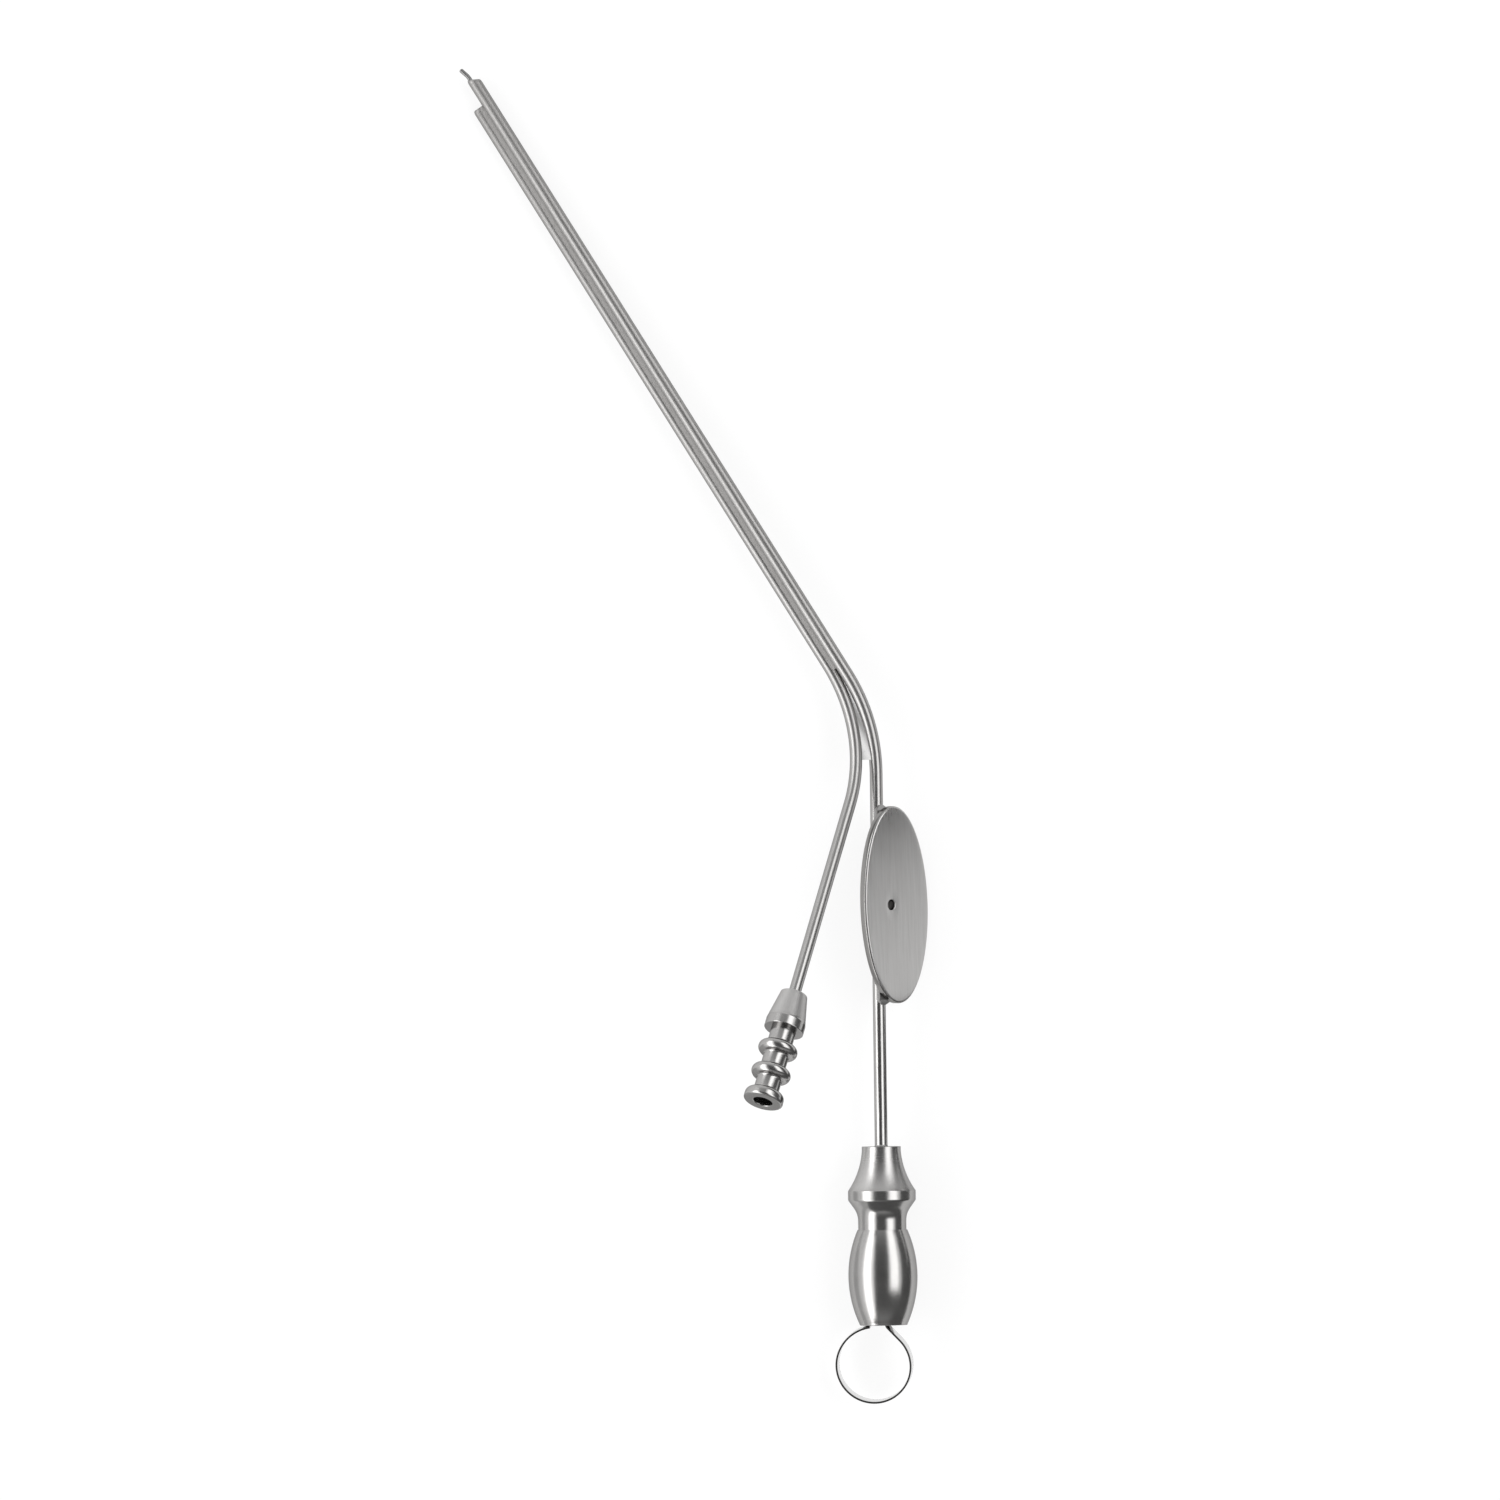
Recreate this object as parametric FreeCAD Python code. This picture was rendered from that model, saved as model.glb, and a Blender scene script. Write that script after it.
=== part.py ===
"""Suction irrigator: a bent suction tube with a second, finer tube soldered along it.

The handle's axis lies along Y, from the hose end towards the tip, with X to the right and Z up,
as the instrument comes to rest on a table: on the handle, the finger plate's lower edge and the
tip. It is built about the middle of the handle's hose end, and moved as one at the end, so that
it stands over the origin with its lowest point at Z = 0. Sizes are in millimetres and degrees.
"""
import FreeCAD, Part
import math
import os
from FreeCAD import Vector

# Suction tube
SUCTION_OD = 1.67
SUCTION_WALL = 0.19
GRIP_LENGTH = 55.42             # handle's front face to the corner of the bend
SHAFT_LENGTH = 98.25            # corner of the bend to the tip
BEND_ANGLE = 31.4
BEND_RADIUS = 24.7
BEND_DIP_ANGLE = 3.34           # of the bend's plane, below the horizontal
TIP_ANGLE = 20.0                # the end is cut slanting, longer on the finer tube's side
TIP_CHAMFER = 0.12

# Irrigation tube
IRRIGATION_OD = 1.60
IRRIGATION_WALL = 0.18
IRRIGATION_SETBACK = 3.5        # its end stays this far behind the suction tube's end
IRRIGATION_CHAMFER = 0.08
PAIR_ANGLE = 27.0               # it lies this far round, below the suction tube
BRANCH_START = -1.1             # corner of its bend beyond the suction tube's, along the shaft
BRANCH_RADIUS = 21.5
BRANCH_SPREAD_ANGLE = 17.2      # from the handle's axis, seen from above
BRANCH_RISE_ANGLE = 24.0        # above the horizontal
BRANCH_LENGTH = 38.6            # corner of its bend to the connector

# Solder
SOLDER_GAP = 0.02               # between the two tubes
SEAM_ANGLE = 52.0               # where the seam meets a tube, from the line between their centres
SEAM_SAG = 0.09
JOINT_FILLET = 0.22
BED_HALF_WIDTH = 1.35           # on the plate
BED_ANGLE_ON_TUBE = 12.0
BED_SAG = 0.12
BED_OVERHANG = 0.40             # beyond the plate's edge, along the tube
BED_SETBACK = 0.25              # behind the plate's edge, on the plate

# Web where the tubes part
WEB_THICKNESS = 0.55
WEB_START = 60.4                # its narrow end, from the handle's front face
WEB_END = 50.2                  # its wide end

# Finger plate
PLATE_LENGTH = 25.6
PLATE_WIDTH = 12.3
PLATE_THICKNESS = 1.12
PLATE_CHAMFER = 0.14
PLATE_GAP = 0.43                # between the tube and the plate
PLATE_TURN_ANGLE = 48.25        # turned about the tube, from facing straight up
PLATE_SKEW_ANGLE = 1.9          # turned in its own plane
PLATE_SHIFT = 1.11              # its middle lies beside the tube
PLATE_POSITION = 31.35          # its middle, from the handle's front face
VENT_DIAMETER = 1.32
VENT_IN_TUBE = 1.10

# Suction connector
COLLAR_RADIUS = 2.53
COLLAR_LENGTH = 0.52
FLARE_LENGTH = 5.20
FLARE_HOLLOW = 0.80             # how far the flare curves in from a straight cone
FLANGE_RADIUS = 4.40
FLANGE_WIDTH = 1.22
UNDERCUT_LENGTH = 1.77
NECK_RADIUS = 3.13
NECK_LENGTH = 2.08
OLIVE_RADIUS = 4.49
OLIVE_START_RADIUS = 3.24
OLIVE_START_LENGTH = 6.11       # neck to the olive's widest place
OLIVE_END_RADIUS = 3.14
OLIVE_END_LENGTH = 6.10
HANDLE_CHAMFER = 0.18
HANDLE_BORE = 3.2
HANDLE_BORE_DEPTH = 14.6
HANDLE_BORE_CONE = 1.8
SOCKET_CLEARANCE = 0.02

# Irrigation connector
CONE_RADIUS = 1.77
CONE_CHAMFER = 0.10
CONE_LENGTH = 3.93
CONE_END_RADIUS = 2.56
BAND_RADIUS = 2.60
BAND_WIDTH = 1.35
HOSE_NECK_RADIUS = 1.64
BEAD_RADIUS = 2.60
BEAD_ROUND = 0.78
BEAD_FIRST = 8.13               # middle of the first bead, from the small end
BEAD_PITCH = 3.43
PLAIN_BEADS = 2
RIM_LENGTH = 0.72               # middle of the last bead to the end face
RIM_CHAMFER = 0.20
IRRIGATION_BORE = 2.5
IRRIGATION_SOCKET = 3.4
IRRIGATION_BORE_CONE = 1.0
MOUTH_CHAMFER = 0.12

# Stylet
WIRE_DIAMETER = 0.55
WIRE_CLEARANCE = 0.01           # to the tube's wall at the tip
STRIP_CLEARANCE = 0.03          # wire to strip, filled with solder
WIRE_OUT = 2.05                 # it stands out of the tip this far
WIRE_HOOK_ANGLE = 17.0
WIRE_HOOK_RADIUS = 2.5
WIRE_CHAMFER = 0.12
STRIP_THICKNESS = 0.24
STRIP_WIDTH = 2.1
RING_DIAMETER = 9.72            # to the middle of the strip's thickness
RING_SIDE = 1.32                # middle of the ring beside the handle's axis
RING_DROP = 5.21                # middle of the ring below the hose end
RING_TILT_ANGLE = 12.0
RING_TILT_SIDE_ANGLE = 45.0
RING_END_ANGLE = 96.0           # where the strip stops, from the right, against the clock
TAIL_LENGTH = 2.4
TAIL_RADIUS = 0.8
WIRE_OVERLAP = 1.7              # length of the wire that lies against the strip
STYLET_SOLDER = 0.62            # width of the solder on the strip

X_AXIS = Vector(1, 0, 0)
Y_AXIS = Vector(0, 1, 0)
Z_AXIS = Vector(0, 0, 1)

suction_radius = SUCTION_OD / 2
suction_bore_radius = suction_radius - SUCTION_WALL
irrigation_radius = IRRIGATION_OD / 2
irrigation_bore_radius = irrigation_radius - IRRIGATION_WALL
wire_radius = WIRE_DIAMETER / 2
pair_distance = suction_radius + irrigation_radius + SOLDER_GAP

handle_length = (COLLAR_LENGTH + FLARE_LENGTH + FLANGE_WIDTH + UNDERCUT_LENGTH + NECK_LENGTH
                 + OLIVE_START_LENGTH + OLIVE_END_LENGTH + HANDLE_CHAMFER)
last_bead = BEAD_FIRST + PLAIN_BEADS * BEAD_PITCH
connector_length = last_bead + RIM_LENGTH


def unit(vector):
    result = Vector(vector)
    result.normalize()
    return result


def turned(vector, axis, degrees):
    return FreeCAD.Rotation(axis, degrees).multVec(vector)


# Directions and places that several pieces share
bend_normal = turned(Z_AXIS, Y_AXIS, -BEND_DIP_ANGLE)
shaft_direction = turned(Y_AXIS, bend_normal, BEND_ANGLE)
beside_shaft = unit(bend_normal.cross(shaft_direction))
to_irrigation = turned(beside_shaft, shaft_direction, -PAIR_ANGLE)
branch_rise = turned(Y_AXIS * -1, X_AXIS, -BRANCH_RISE_ANGLE)
branch_direction = turned(branch_rise, Z_AXIS, -BRANCH_SPREAD_ANGLE)

tube_seat = Vector(0, HANDLE_BORE_DEPTH + HANDLE_BORE_CONE, 0)
handle_front = Vector(0, handle_length, 0)
bend_corner = handle_front + Y_AXIS * GRIP_LENGTH
suction_tip = bend_corner + shaft_direction * SHAFT_LENGTH
irrigation_tip = suction_tip - shaft_direction * IRRIGATION_SETBACK + to_irrigation * pair_distance
branch_corner = bend_corner + shaft_direction * BRANCH_START + to_irrigation * pair_distance
branch_end = branch_corner + branch_direction * BRANCH_LENGTH

plate_normal = turned(Z_AXIS, Y_AXIS, PLATE_TURN_ANGLE)
plate_across = turned(X_AXIS, Y_AXIS, PLATE_TURN_ANGLE)
plate_back = suction_radius + PLATE_GAP
vent_centre = handle_front + Y_AXIS * PLATE_POSITION


class Route:
    """A path of straight runs joined by tangent arcs, one radius for each inner point."""

    def __init__(self, points, radii):
        self.parts = []
        self.start = points[0]
        self.end = points[-1]
        self.direction = unit(points[1] - points[0])
        here = points[0]
        for before, corner, after, radius in zip(points, points[1:], points[2:], radii):
            incoming = unit(corner - before)
            outgoing = unit(after - corner)
            angle = incoming.getAngle(outgoing)
            reach = radius * math.tan(angle / 2)
            axis = unit(incoming.cross(outgoing))
            bend_start = corner - incoming * reach
            centre = bend_start + axis.cross(incoming) * radius
            self.parts.append(("line", bend_start - here))
            self.parts.append(("arc", centre, axis, math.degrees(angle), bend_start))
            here = corner + outgoing * reach
        self.parts.append(("line", points[-1] - here))

    def sweep(self, profile):
        """Carry a flat face, drawn square to the start, along the whole path."""
        solid = None
        for kind, *values in self.parts:
            if kind == "line":
                piece = profile.extrude(values[0])
                profile = profile.translated(values[0])
            else:
                centre, axis, angle, _ = values
                piece = profile.revolve(centre, axis, angle)
                profile = profile.rotated(centre, axis, angle)
            solid = piece if solid is None else solid.fuse(piece)
        return solid.removeSplitter()

    def bend_points(self, number):
        """Start, middle and end of one of the arcs."""
        arcs = [values for kind, *values in self.parts if kind == "arc"]
        centre, axis, angle, bend_start = arcs[number]
        spoke = bend_start - centre
        return [centre + turned(spoke, axis, angle * share) for share in (0, 0.5, 1)]


class Outline:
    """Half the section of a turned piece: places are given along its axis and out from it."""

    def __init__(self, origin, axis, outward):
        self.origin = origin
        self.axis = axis
        self.outward = outward
        self.edges = []
        self.last = None

    def point(self, along, out):
        return self.origin + self.axis * along + self.outward * out

    def start(self, along, out):
        self.last = (along, out)
        self.first = (along, out)

    def line(self, along, out):
        self.edges.append(Part.makeLine(self.point(*self.last), self.point(along, out)))
        self.last = (along, out)

    def arc(self, middle, end):
        curve = Part.Arc(self.point(*self.last), self.point(*middle), self.point(*end))
        self.edges.append(curve.toShape())
        self.last = end

    def turn(self):
        self.line(*self.first)
        return Part.Face(Part.Wire(self.edges)).revolve(self.origin, self.axis, 360)


def disk(centre, normal, radius):
    return Part.Face(Part.Wire(Part.makeCircle(radius, centre, normal)))


def washer(centre, normal, radius, inner):
    return disk(centre, normal, radius).cut(disk(centre, normal, inner)).Faces[0]


def filled(route, radius):
    """The space that a tube takes, its bore included."""
    return route.sweep(disk(route.start, route.direction, radius))


def hollow(route, radius, bore):
    return route.sweep(washer(route.start, route.direction, radius, bore))


def broken_end(tube, end, chamfer):
    """Break the outer edge at one end of a tube or wire."""
    face = min(tube.Faces, key=lambda face: (face.CenterOfMass - end).Length)
    outer_edge = max(face.Edges, key=lambda edge: edge.Length)
    return tube.makeChamfer(chamfer, [outer_edge])


def largest(shape):
    return max(shape.Solids, key=lambda solid: solid.Volume)


def suction_route():
    return Route([tube_seat, bend_corner, suction_tip], [BEND_RADIUS])


def irrigation_route():
    end = branch_end + branch_direction * IRRIGATION_SOCKET
    return Route([irrigation_tip, branch_corner, end], [BRANCH_RADIUS])


def suction_tube():
    """Cut slanting at the tip, where its outer edge is broken."""
    route = Route([tube_seat, bend_corner, suction_tip + shaft_direction * SUCTION_OD], [BEND_RADIUS])
    tube = hollow(route, suction_radius, suction_bore_radius)
    tip_normal = turned(shaft_direction, bend_normal, -TIP_ANGLE)
    tube = tube.cut(Part.makeCylinder(2 * SUCTION_OD, 2 * SUCTION_OD, suction_tip, tip_normal))
    tube = broken_end(tube, suction_tip, TIP_CHAMFER)
    vent = Part.makeCylinder(VENT_IN_TUBE / 2, SUCTION_OD, vent_centre, plate_normal)
    return tube.cut(vent)


def irrigation_tube():
    tube = hollow(irrigation_route(), irrigation_radius, irrigation_bore_radius)
    return broken_end(tube, irrigation_tip, IRRIGATION_CHAMFER)


def seam_solder():
    """Solder in the groove on both sides of the tubes, from the finer one's end to where they part."""
    start = irrigation_tip - to_irrigation * pair_distance
    length = (irrigation_route().bend_points(0)[0] - irrigation_tip).Length
    upward = unit(shaft_direction.cross(to_irrigation))

    def on_suction(angle):
        angle = math.radians(angle)
        return start + (to_irrigation * math.cos(angle) + upward * math.sin(angle)) * suction_radius

    def on_irrigation(angle):
        angle = math.radians(angle)
        outward = upward * math.sin(angle) - to_irrigation * math.cos(angle)
        return irrigation_tip + outward * irrigation_radius

    edges = [Part.Arc(on_suction(-SEAM_ANGLE), on_suction(0), on_suction(SEAM_ANGLE)).toShape(),
             Part.Arc(on_irrigation(-SEAM_ANGLE), on_irrigation(0), on_irrigation(SEAM_ANGLE)).toShape()]
    for side in (1, -1):
        first = on_suction(side * SEAM_ANGLE)
        second = on_irrigation(side * SEAM_ANGLE)
        hollow_middle = (first + second) / 2 - upward * (side * SEAM_SAG)
        edges.append(Part.Arc(first, hollow_middle, second).toShape())
    section = Part.Face(Part.Wire(Part.__sortEdges__(edges)))
    return section.extrude(shaft_direction * -length)


def fork_web():
    """A flat sheet between the tubes where they part, square at both ends."""
    on_suction = suction_route().bend_points(0)
    on_irrigation = irrigation_route().bend_points(0)
    low = handle_length + WEB_END
    high = handle_length + WEB_START

    def at_low_end(first, second):
        share = (first.y - low) / (first.y - second.y)
        return first + (second - first) * share

    crotch = (on_suction[2] + on_irrigation[0]) / 2
    to_suction = at_low_end(on_suction[1], on_suction[0]) - crotch
    to_other = at_low_end(on_irrigation[1], on_irrigation[2]) - crotch
    normal = unit(to_suction.cross(to_other))
    corners = [corner - normal * (corner - crotch).dot(normal)
               for corner in on_suction[::-1] + on_irrigation[::-1]]
    sheet = Part.Face(Part.makePolygon(corners + corners[:1]))
    web = sheet.translated(normal * (-WEB_THICKNESS / 2)).extrude(normal * WEB_THICKNESS)
    reach = BRANCH_RADIUS
    web = web.common(Part.makeBox(2 * reach, high - low, 2 * reach, Vector(-reach, low, -reach)))
    web = web.cut(filled(suction_route(), suction_radius))
    return largest(web.cut(filled(irrigation_route(), irrigation_radius)))


def finger_plate():
    along = turned(Y_AXIS, plate_normal, PLATE_SKEW_ANGLE)
    centre = vent_centre + plate_across * PLATE_SHIFT + plate_normal * plate_back
    oval = Part.Ellipse(centre + along * (PLATE_LENGTH / 2),
                        centre + along.cross(plate_normal) * (PLATE_WIDTH / 2), centre)
    plate = Part.Face(Part.Wire(oval.toShape())).extrude(plate_normal * PLATE_THICKNESS)
    rims = [edge for edge in plate.Edges if edge.Length > PLATE_LENGTH]
    plate = plate.makeChamfer(PLATE_CHAMFER, rims)
    vent = Part.makeCylinder(VENT_DIAMETER / 2, PLATE_THICKNESS + plate_back, vent_centre, plate_normal)
    return plate.cut(vent)


def plate_solder():
    """The bed of solder between tube and plate, sloping out past the plate's edge at both ends."""
    share = PLATE_SHIFT / (PLATE_WIDTH / 2)
    half_chord = PLATE_LENGTH / 2 * math.sqrt(1 - share ** 2)
    on_plate = half_chord - BED_SETBACK
    on_tube = half_chord + BED_OVERHANG
    spread = math.radians(BED_ANGLE_ON_TUBE)

    def place(across, height, along=0.0):
        return vent_centre + plate_across * across + plate_normal * height + Y_AXIS * along

    foot = suction_radius * math.cos(spread)
    foot_height = suction_radius * math.sin(spread)
    middle = (BED_HALF_WIDTH + foot) / 2 - BED_SAG
    middle_height = (plate_back + foot_height) / 2
    edges = [Part.makeLine(place(-BED_HALF_WIDTH, plate_back), place(BED_HALF_WIDTH, plate_back)),
             Part.makeLine(place(foot, foot_height), place(0, 0)),
             Part.makeLine(place(0, 0), place(-foot, foot_height))]
    for side in (1, -1):
        edges.append(Part.Arc(place(side * BED_HALF_WIDTH, plate_back),
                              place(side * middle, middle_height),
                              place(side * foot, foot_height)).toShape())
    section = Part.Face(Part.Wire(Part.__sortEdges__(edges)))
    bed = section.translated(Y_AXIS * -on_tube).extrude(Y_AXIS * (2 * on_tube))
    side_view = [place(-PLATE_WIDTH, 0, -on_tube), place(-PLATE_WIDTH, 0, on_tube),
                 place(-PLATE_WIDTH, plate_back, on_plate), place(-PLATE_WIDTH, plate_back, -on_plate)]
    slopes = Part.Face(Part.makePolygon(side_view + side_view[:1])).extrude(plate_across * 2 * PLATE_WIDTH)
    bed = bed.common(slopes)
    bed = bed.cut(Part.makeCylinder(VENT_DIAMETER / 2, 2 * plate_back, vent_centre, plate_normal))
    return bed.cut(filled(suction_route(), suction_radius))


def suction_connector():
    """Olive, neck, flange and flare down to the collar that takes the tube."""
    outline = Outline(Vector(0, 0, 0), Y_AXIS, X_AXIS)
    face_radius = OLIVE_END_RADIUS - HANDLE_CHAMFER
    bore_radius = HANDLE_BORE / 2
    outline.start(HANDLE_CHAMFER, OLIVE_END_RADIUS)
    olive_peak = HANDLE_CHAMFER + OLIVE_END_LENGTH
    olive_start = olive_peak + OLIVE_START_LENGTH
    outline.arc((olive_peak, OLIVE_RADIUS), (olive_start, OLIVE_START_RADIUS))
    outline.line(olive_start, NECK_RADIUS)
    neck_end = olive_start + NECK_LENGTH
    outline.line(neck_end, NECK_RADIUS)
    flange_start = neck_end + UNDERCUT_LENGTH
    outline.line(flange_start, FLANGE_RADIUS)
    flange_end = flange_start + FLANGE_WIDTH
    outline.line(flange_end, FLANGE_RADIUS)
    flare_end = flange_end + FLARE_LENGTH
    flare_middle = ((flange_end + flare_end) / 2,
                    (FLANGE_RADIUS + COLLAR_RADIUS) / 2 - FLARE_HOLLOW * 0.5)
    outline.arc(flare_middle, (flare_end, COLLAR_RADIUS))
    outline.line(handle_length - HANDLE_CHAMFER / 2, COLLAR_RADIUS)
    outline.line(handle_length, COLLAR_RADIUS - HANDLE_CHAMFER / 2)
    socket_radius = suction_radius + SOCKET_CLEARANCE
    outline.line(handle_length, socket_radius)
    outline.line(tube_seat.y, socket_radius)
    outline.line(tube_seat.y, suction_bore_radius)
    outline.line(HANDLE_BORE_DEPTH, bore_radius)
    outline.line(HANDLE_CHAMFER, bore_radius)
    outline.line(0, bore_radius + HANDLE_CHAMFER)
    outline.line(0, face_radius)
    return outline.turn()


def add_bead(outline, centre):
    """A round bead on the neck; the last one goes only as far as its widest place."""
    bead_height = BEAD_RADIUS - BEAD_ROUND
    reach = math.sqrt(BEAD_ROUND ** 2 - (bead_height - HOSE_NECK_RADIUS) ** 2)
    outline.line(centre - reach, HOSE_NECK_RADIUS)
    if centre < last_bead:
        outline.arc((centre, BEAD_RADIUS), (centre + reach, HOSE_NECK_RADIUS))
        return
    quarter = BEAD_ROUND * math.sqrt(0.5)
    outline.arc((centre - quarter, bead_height + quarter), (centre, BEAD_RADIUS))


def irrigation_connector():
    """Cone, band and a row of beads that hold the hose; the last bead ends in a flat face."""
    outline = Outline(branch_end, branch_direction, unit(branch_direction.cross(Z_AXIS)))
    socket_radius = irrigation_radius + SOCKET_CLEARANCE
    bore_radius = IRRIGATION_BORE / 2
    outline.start(0, socket_radius)
    outline.line(0, CONE_RADIUS - CONE_CHAMFER)
    outline.line(CONE_CHAMFER, CONE_RADIUS)
    outline.line(CONE_LENGTH, CONE_END_RADIUS)
    band_end = CONE_LENGTH + BAND_WIDTH
    outline.line(CONE_LENGTH + BAND_RADIUS - CONE_END_RADIUS, BAND_RADIUS)
    outline.line(band_end, BAND_RADIUS)
    outline.line(band_end, HOSE_NECK_RADIUS)
    for number in range(PLAIN_BEADS + 1):
        add_bead(outline, BEAD_FIRST + number * BEAD_PITCH)
    outline.line(connector_length - RIM_CHAMFER, BEAD_RADIUS)
    outline.line(connector_length, BEAD_RADIUS - RIM_CHAMFER)
    outline.line(connector_length, bore_radius + MOUTH_CHAMFER)
    outline.line(connector_length - MOUTH_CHAMFER, bore_radius)
    outline.line(IRRIGATION_SOCKET + IRRIGATION_BORE_CONE, bore_radius)
    outline.line(IRRIGATION_SOCKET, irrigation_bore_radius)
    outline.line(IRRIGATION_SOCKET, socket_radius)
    return outline.turn()


def joint_solder(face_centre, away, tube_radius):
    """A sloping fillet round a tube, on the face that it goes into."""
    outline = Outline(face_centre, away, unit(away.cross(Z_AXIS)))
    outline.start(0, tube_radius)
    outline.line(0, tube_radius + JOINT_FILLET)
    outline.line(JOINT_FILLET, tube_radius)
    return outline.turn()


def stylet_route():
    """Along the handle's axis and the shaft, out against the wall at the tip and a little aside."""
    side = suction_bore_radius - wire_radius - WIRE_CLEARANCE
    lip = suction_radius * math.tan(math.radians(TIP_ANGLE))
    reach = lip + WIRE_HOOK_RADIUS * math.tan(math.radians(WIRE_HOOK_ANGLE / 2))
    mouth = suction_tip + beside_shaft * side + shaft_direction * reach
    hook = turned(shaft_direction, bend_normal, WIRE_HOOK_ANGLE)
    end = mouth + hook * (WIRE_OUT - reach)
    start = Y_AXIS * (TAIL_LENGTH - WIRE_OVERLAP)
    return Route([start, bend_corner, mouth, end], [BEND_RADIUS, WIRE_HOOK_RADIUS])


def stylet_wire():
    route = stylet_route()
    return broken_end(filled(route, wire_radius), route.end, WIRE_CHAMFER)


def tilted(shape):
    """Turn the flat loop's plane about the middle of the handle's hose end."""
    lean = turned(X_AXIS, Z_AXIS, -RING_TILT_SIDE_ANGLE)
    return shape.rotated(Vector(0, 0, 0), lean, RING_TILT_ANGLE)


def strip_section(middle, outward):
    """The strip's section at a place: its thickness along outward and its width along Z."""
    across = outward * (STRIP_THICKNESS / 2)
    up = Z_AXIS * (STRIP_WIDTH / 2)
    corners = [middle - across - up, middle + across - up, middle + across + up, middle - across + up]
    return Part.Face(Part.makePolygon(corners + corners[:1]))


def stylet_ring():
    """The strip: a tail in the bore, a slanting run and the loop, tilted as one."""
    corner = X_AXIS * (wire_radius + STRIP_CLEARANCE + STRIP_THICKNESS / 2)
    tail_end = corner + Y_AXIS * TAIL_LENGTH
    ring_radius = RING_DIAMETER / 2
    centre = Vector(-RING_SIDE, -RING_DROP, 0)
    spread = math.degrees(math.acos(ring_radius / (corner - centre).Length))
    outward = turned(unit(corner - centre), Z_AXIS, -spread)
    touch = centre + outward * ring_radius
    straight = Route([tail_end, corner, touch], [TAIL_RADIUS]).sweep(strip_section(tail_end, X_AXIS))
    touch_angle = math.degrees(math.atan2(outward.y, outward.x))
    loop = strip_section(touch, outward).revolve(centre, Z_AXIS * -1, 360 + touch_angle - RING_END_ANGLE)
    return tilted(straight.fuse(loop).removeSplitter())


def stylet_solder():
    """Solder on both sides of the wire where it lies on the strip."""
    block = Part.makeBox(wire_radius + STRIP_CLEARANCE, WIRE_OVERLAP, STYLET_SOLDER,
                         Vector(0, TAIL_LENGTH - WIRE_OVERLAP, -STYLET_SOLDER / 2))
    return block.cut(stylet_ring()).cut(stylet_wire())


def build():
    return {
        "suction_tube": suction_tube(),
        "irrigation_tube": irrigation_tube(),
        "seam_solder": seam_solder(),
        "fork_web": fork_web(),
        "finger_plate": finger_plate(),
        "plate_solder": plate_solder(),
        "suction_connector": suction_connector(),
        "suction_joint_solder": joint_solder(handle_front, Y_AXIS, suction_radius),
        "irrigation_connector": irrigation_connector(),
        "irrigation_joint_solder": joint_solder(branch_end, branch_direction * -1, irrigation_radius),
        "stylet_wire": stylet_wire(),
        "stylet_ring": stylet_ring(),
        "stylet_solder": stylet_solder(),
    }


def export(parts):
    """Stand the instrument over the origin and write one file for each piece."""
    box = FreeCAD.BoundBox()
    for shape in parts.values():
        box.add(shape.optimalBoundingBox(False, False))
    move = Vector(-box.Center.x, -box.Center.y, -box.ZMin)
    os.makedirs("parts", exist_ok=True)
    for node, shape in parts.items():
        shape.translated(move).exportStep("parts/" + node + ".step")
    return move


if __name__ == "__main__":
    export(build())
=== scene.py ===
"""Suction irrigator on a pale table, seen from straight above under soft studio light.

Every piece is drawn in millimetres about the middle of the handle's hose end, with the handle's
axis along Y, and then set down where that point lies on the table. Its grain attribute holds each
point as it would lie on the piece laid straight, in millimetres, for the marks of its finish.
"""
import math

import bmesh
import bpy
from mathutils import Matrix, Vector, noise


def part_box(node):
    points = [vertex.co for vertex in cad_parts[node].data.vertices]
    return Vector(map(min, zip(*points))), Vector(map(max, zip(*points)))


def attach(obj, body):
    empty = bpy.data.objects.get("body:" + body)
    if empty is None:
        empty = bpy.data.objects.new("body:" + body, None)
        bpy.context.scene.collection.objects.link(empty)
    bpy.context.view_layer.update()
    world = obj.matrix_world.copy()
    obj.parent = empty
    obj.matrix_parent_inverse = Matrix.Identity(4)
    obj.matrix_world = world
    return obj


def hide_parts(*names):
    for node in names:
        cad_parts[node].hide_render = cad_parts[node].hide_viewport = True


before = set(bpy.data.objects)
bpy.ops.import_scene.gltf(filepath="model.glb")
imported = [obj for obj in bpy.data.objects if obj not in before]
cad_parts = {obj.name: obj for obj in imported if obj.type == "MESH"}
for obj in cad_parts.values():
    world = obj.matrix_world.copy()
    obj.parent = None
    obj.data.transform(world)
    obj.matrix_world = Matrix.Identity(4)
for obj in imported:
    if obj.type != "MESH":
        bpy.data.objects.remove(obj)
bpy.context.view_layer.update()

MM = 0.001
handle_low, handle_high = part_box("suction_connector")
# The drawing's zero point on the table: the middle of the handle's hose end
handle_middle = (handle_low + handle_high) / 2
HANDLE_END = Vector((handle_middle.x, handle_low.y, handle_middle.z)) / MM

# Handle, with places along its axis and out from it
HANDLE_LENGTH = 23.2
HANDLE_BORE = 1.6
HANDLE_BORE_END = 14.6
HANDLE_RIM = 3.08
OLIVE_START = (0.18, 3.14)
OLIVE_MIDDLE = (6.28, 4.49)
OLIVE_END = (12.39, 3.24)
NECK_END = (14.47, 3.13)
FLANGE_START = (16.24, 4.40)
FLANGE_END = (17.46, 4.40)
FLARE_MIDDLE = (20.06, 3.065)
FLARE_END = (22.66, 2.53)

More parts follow.
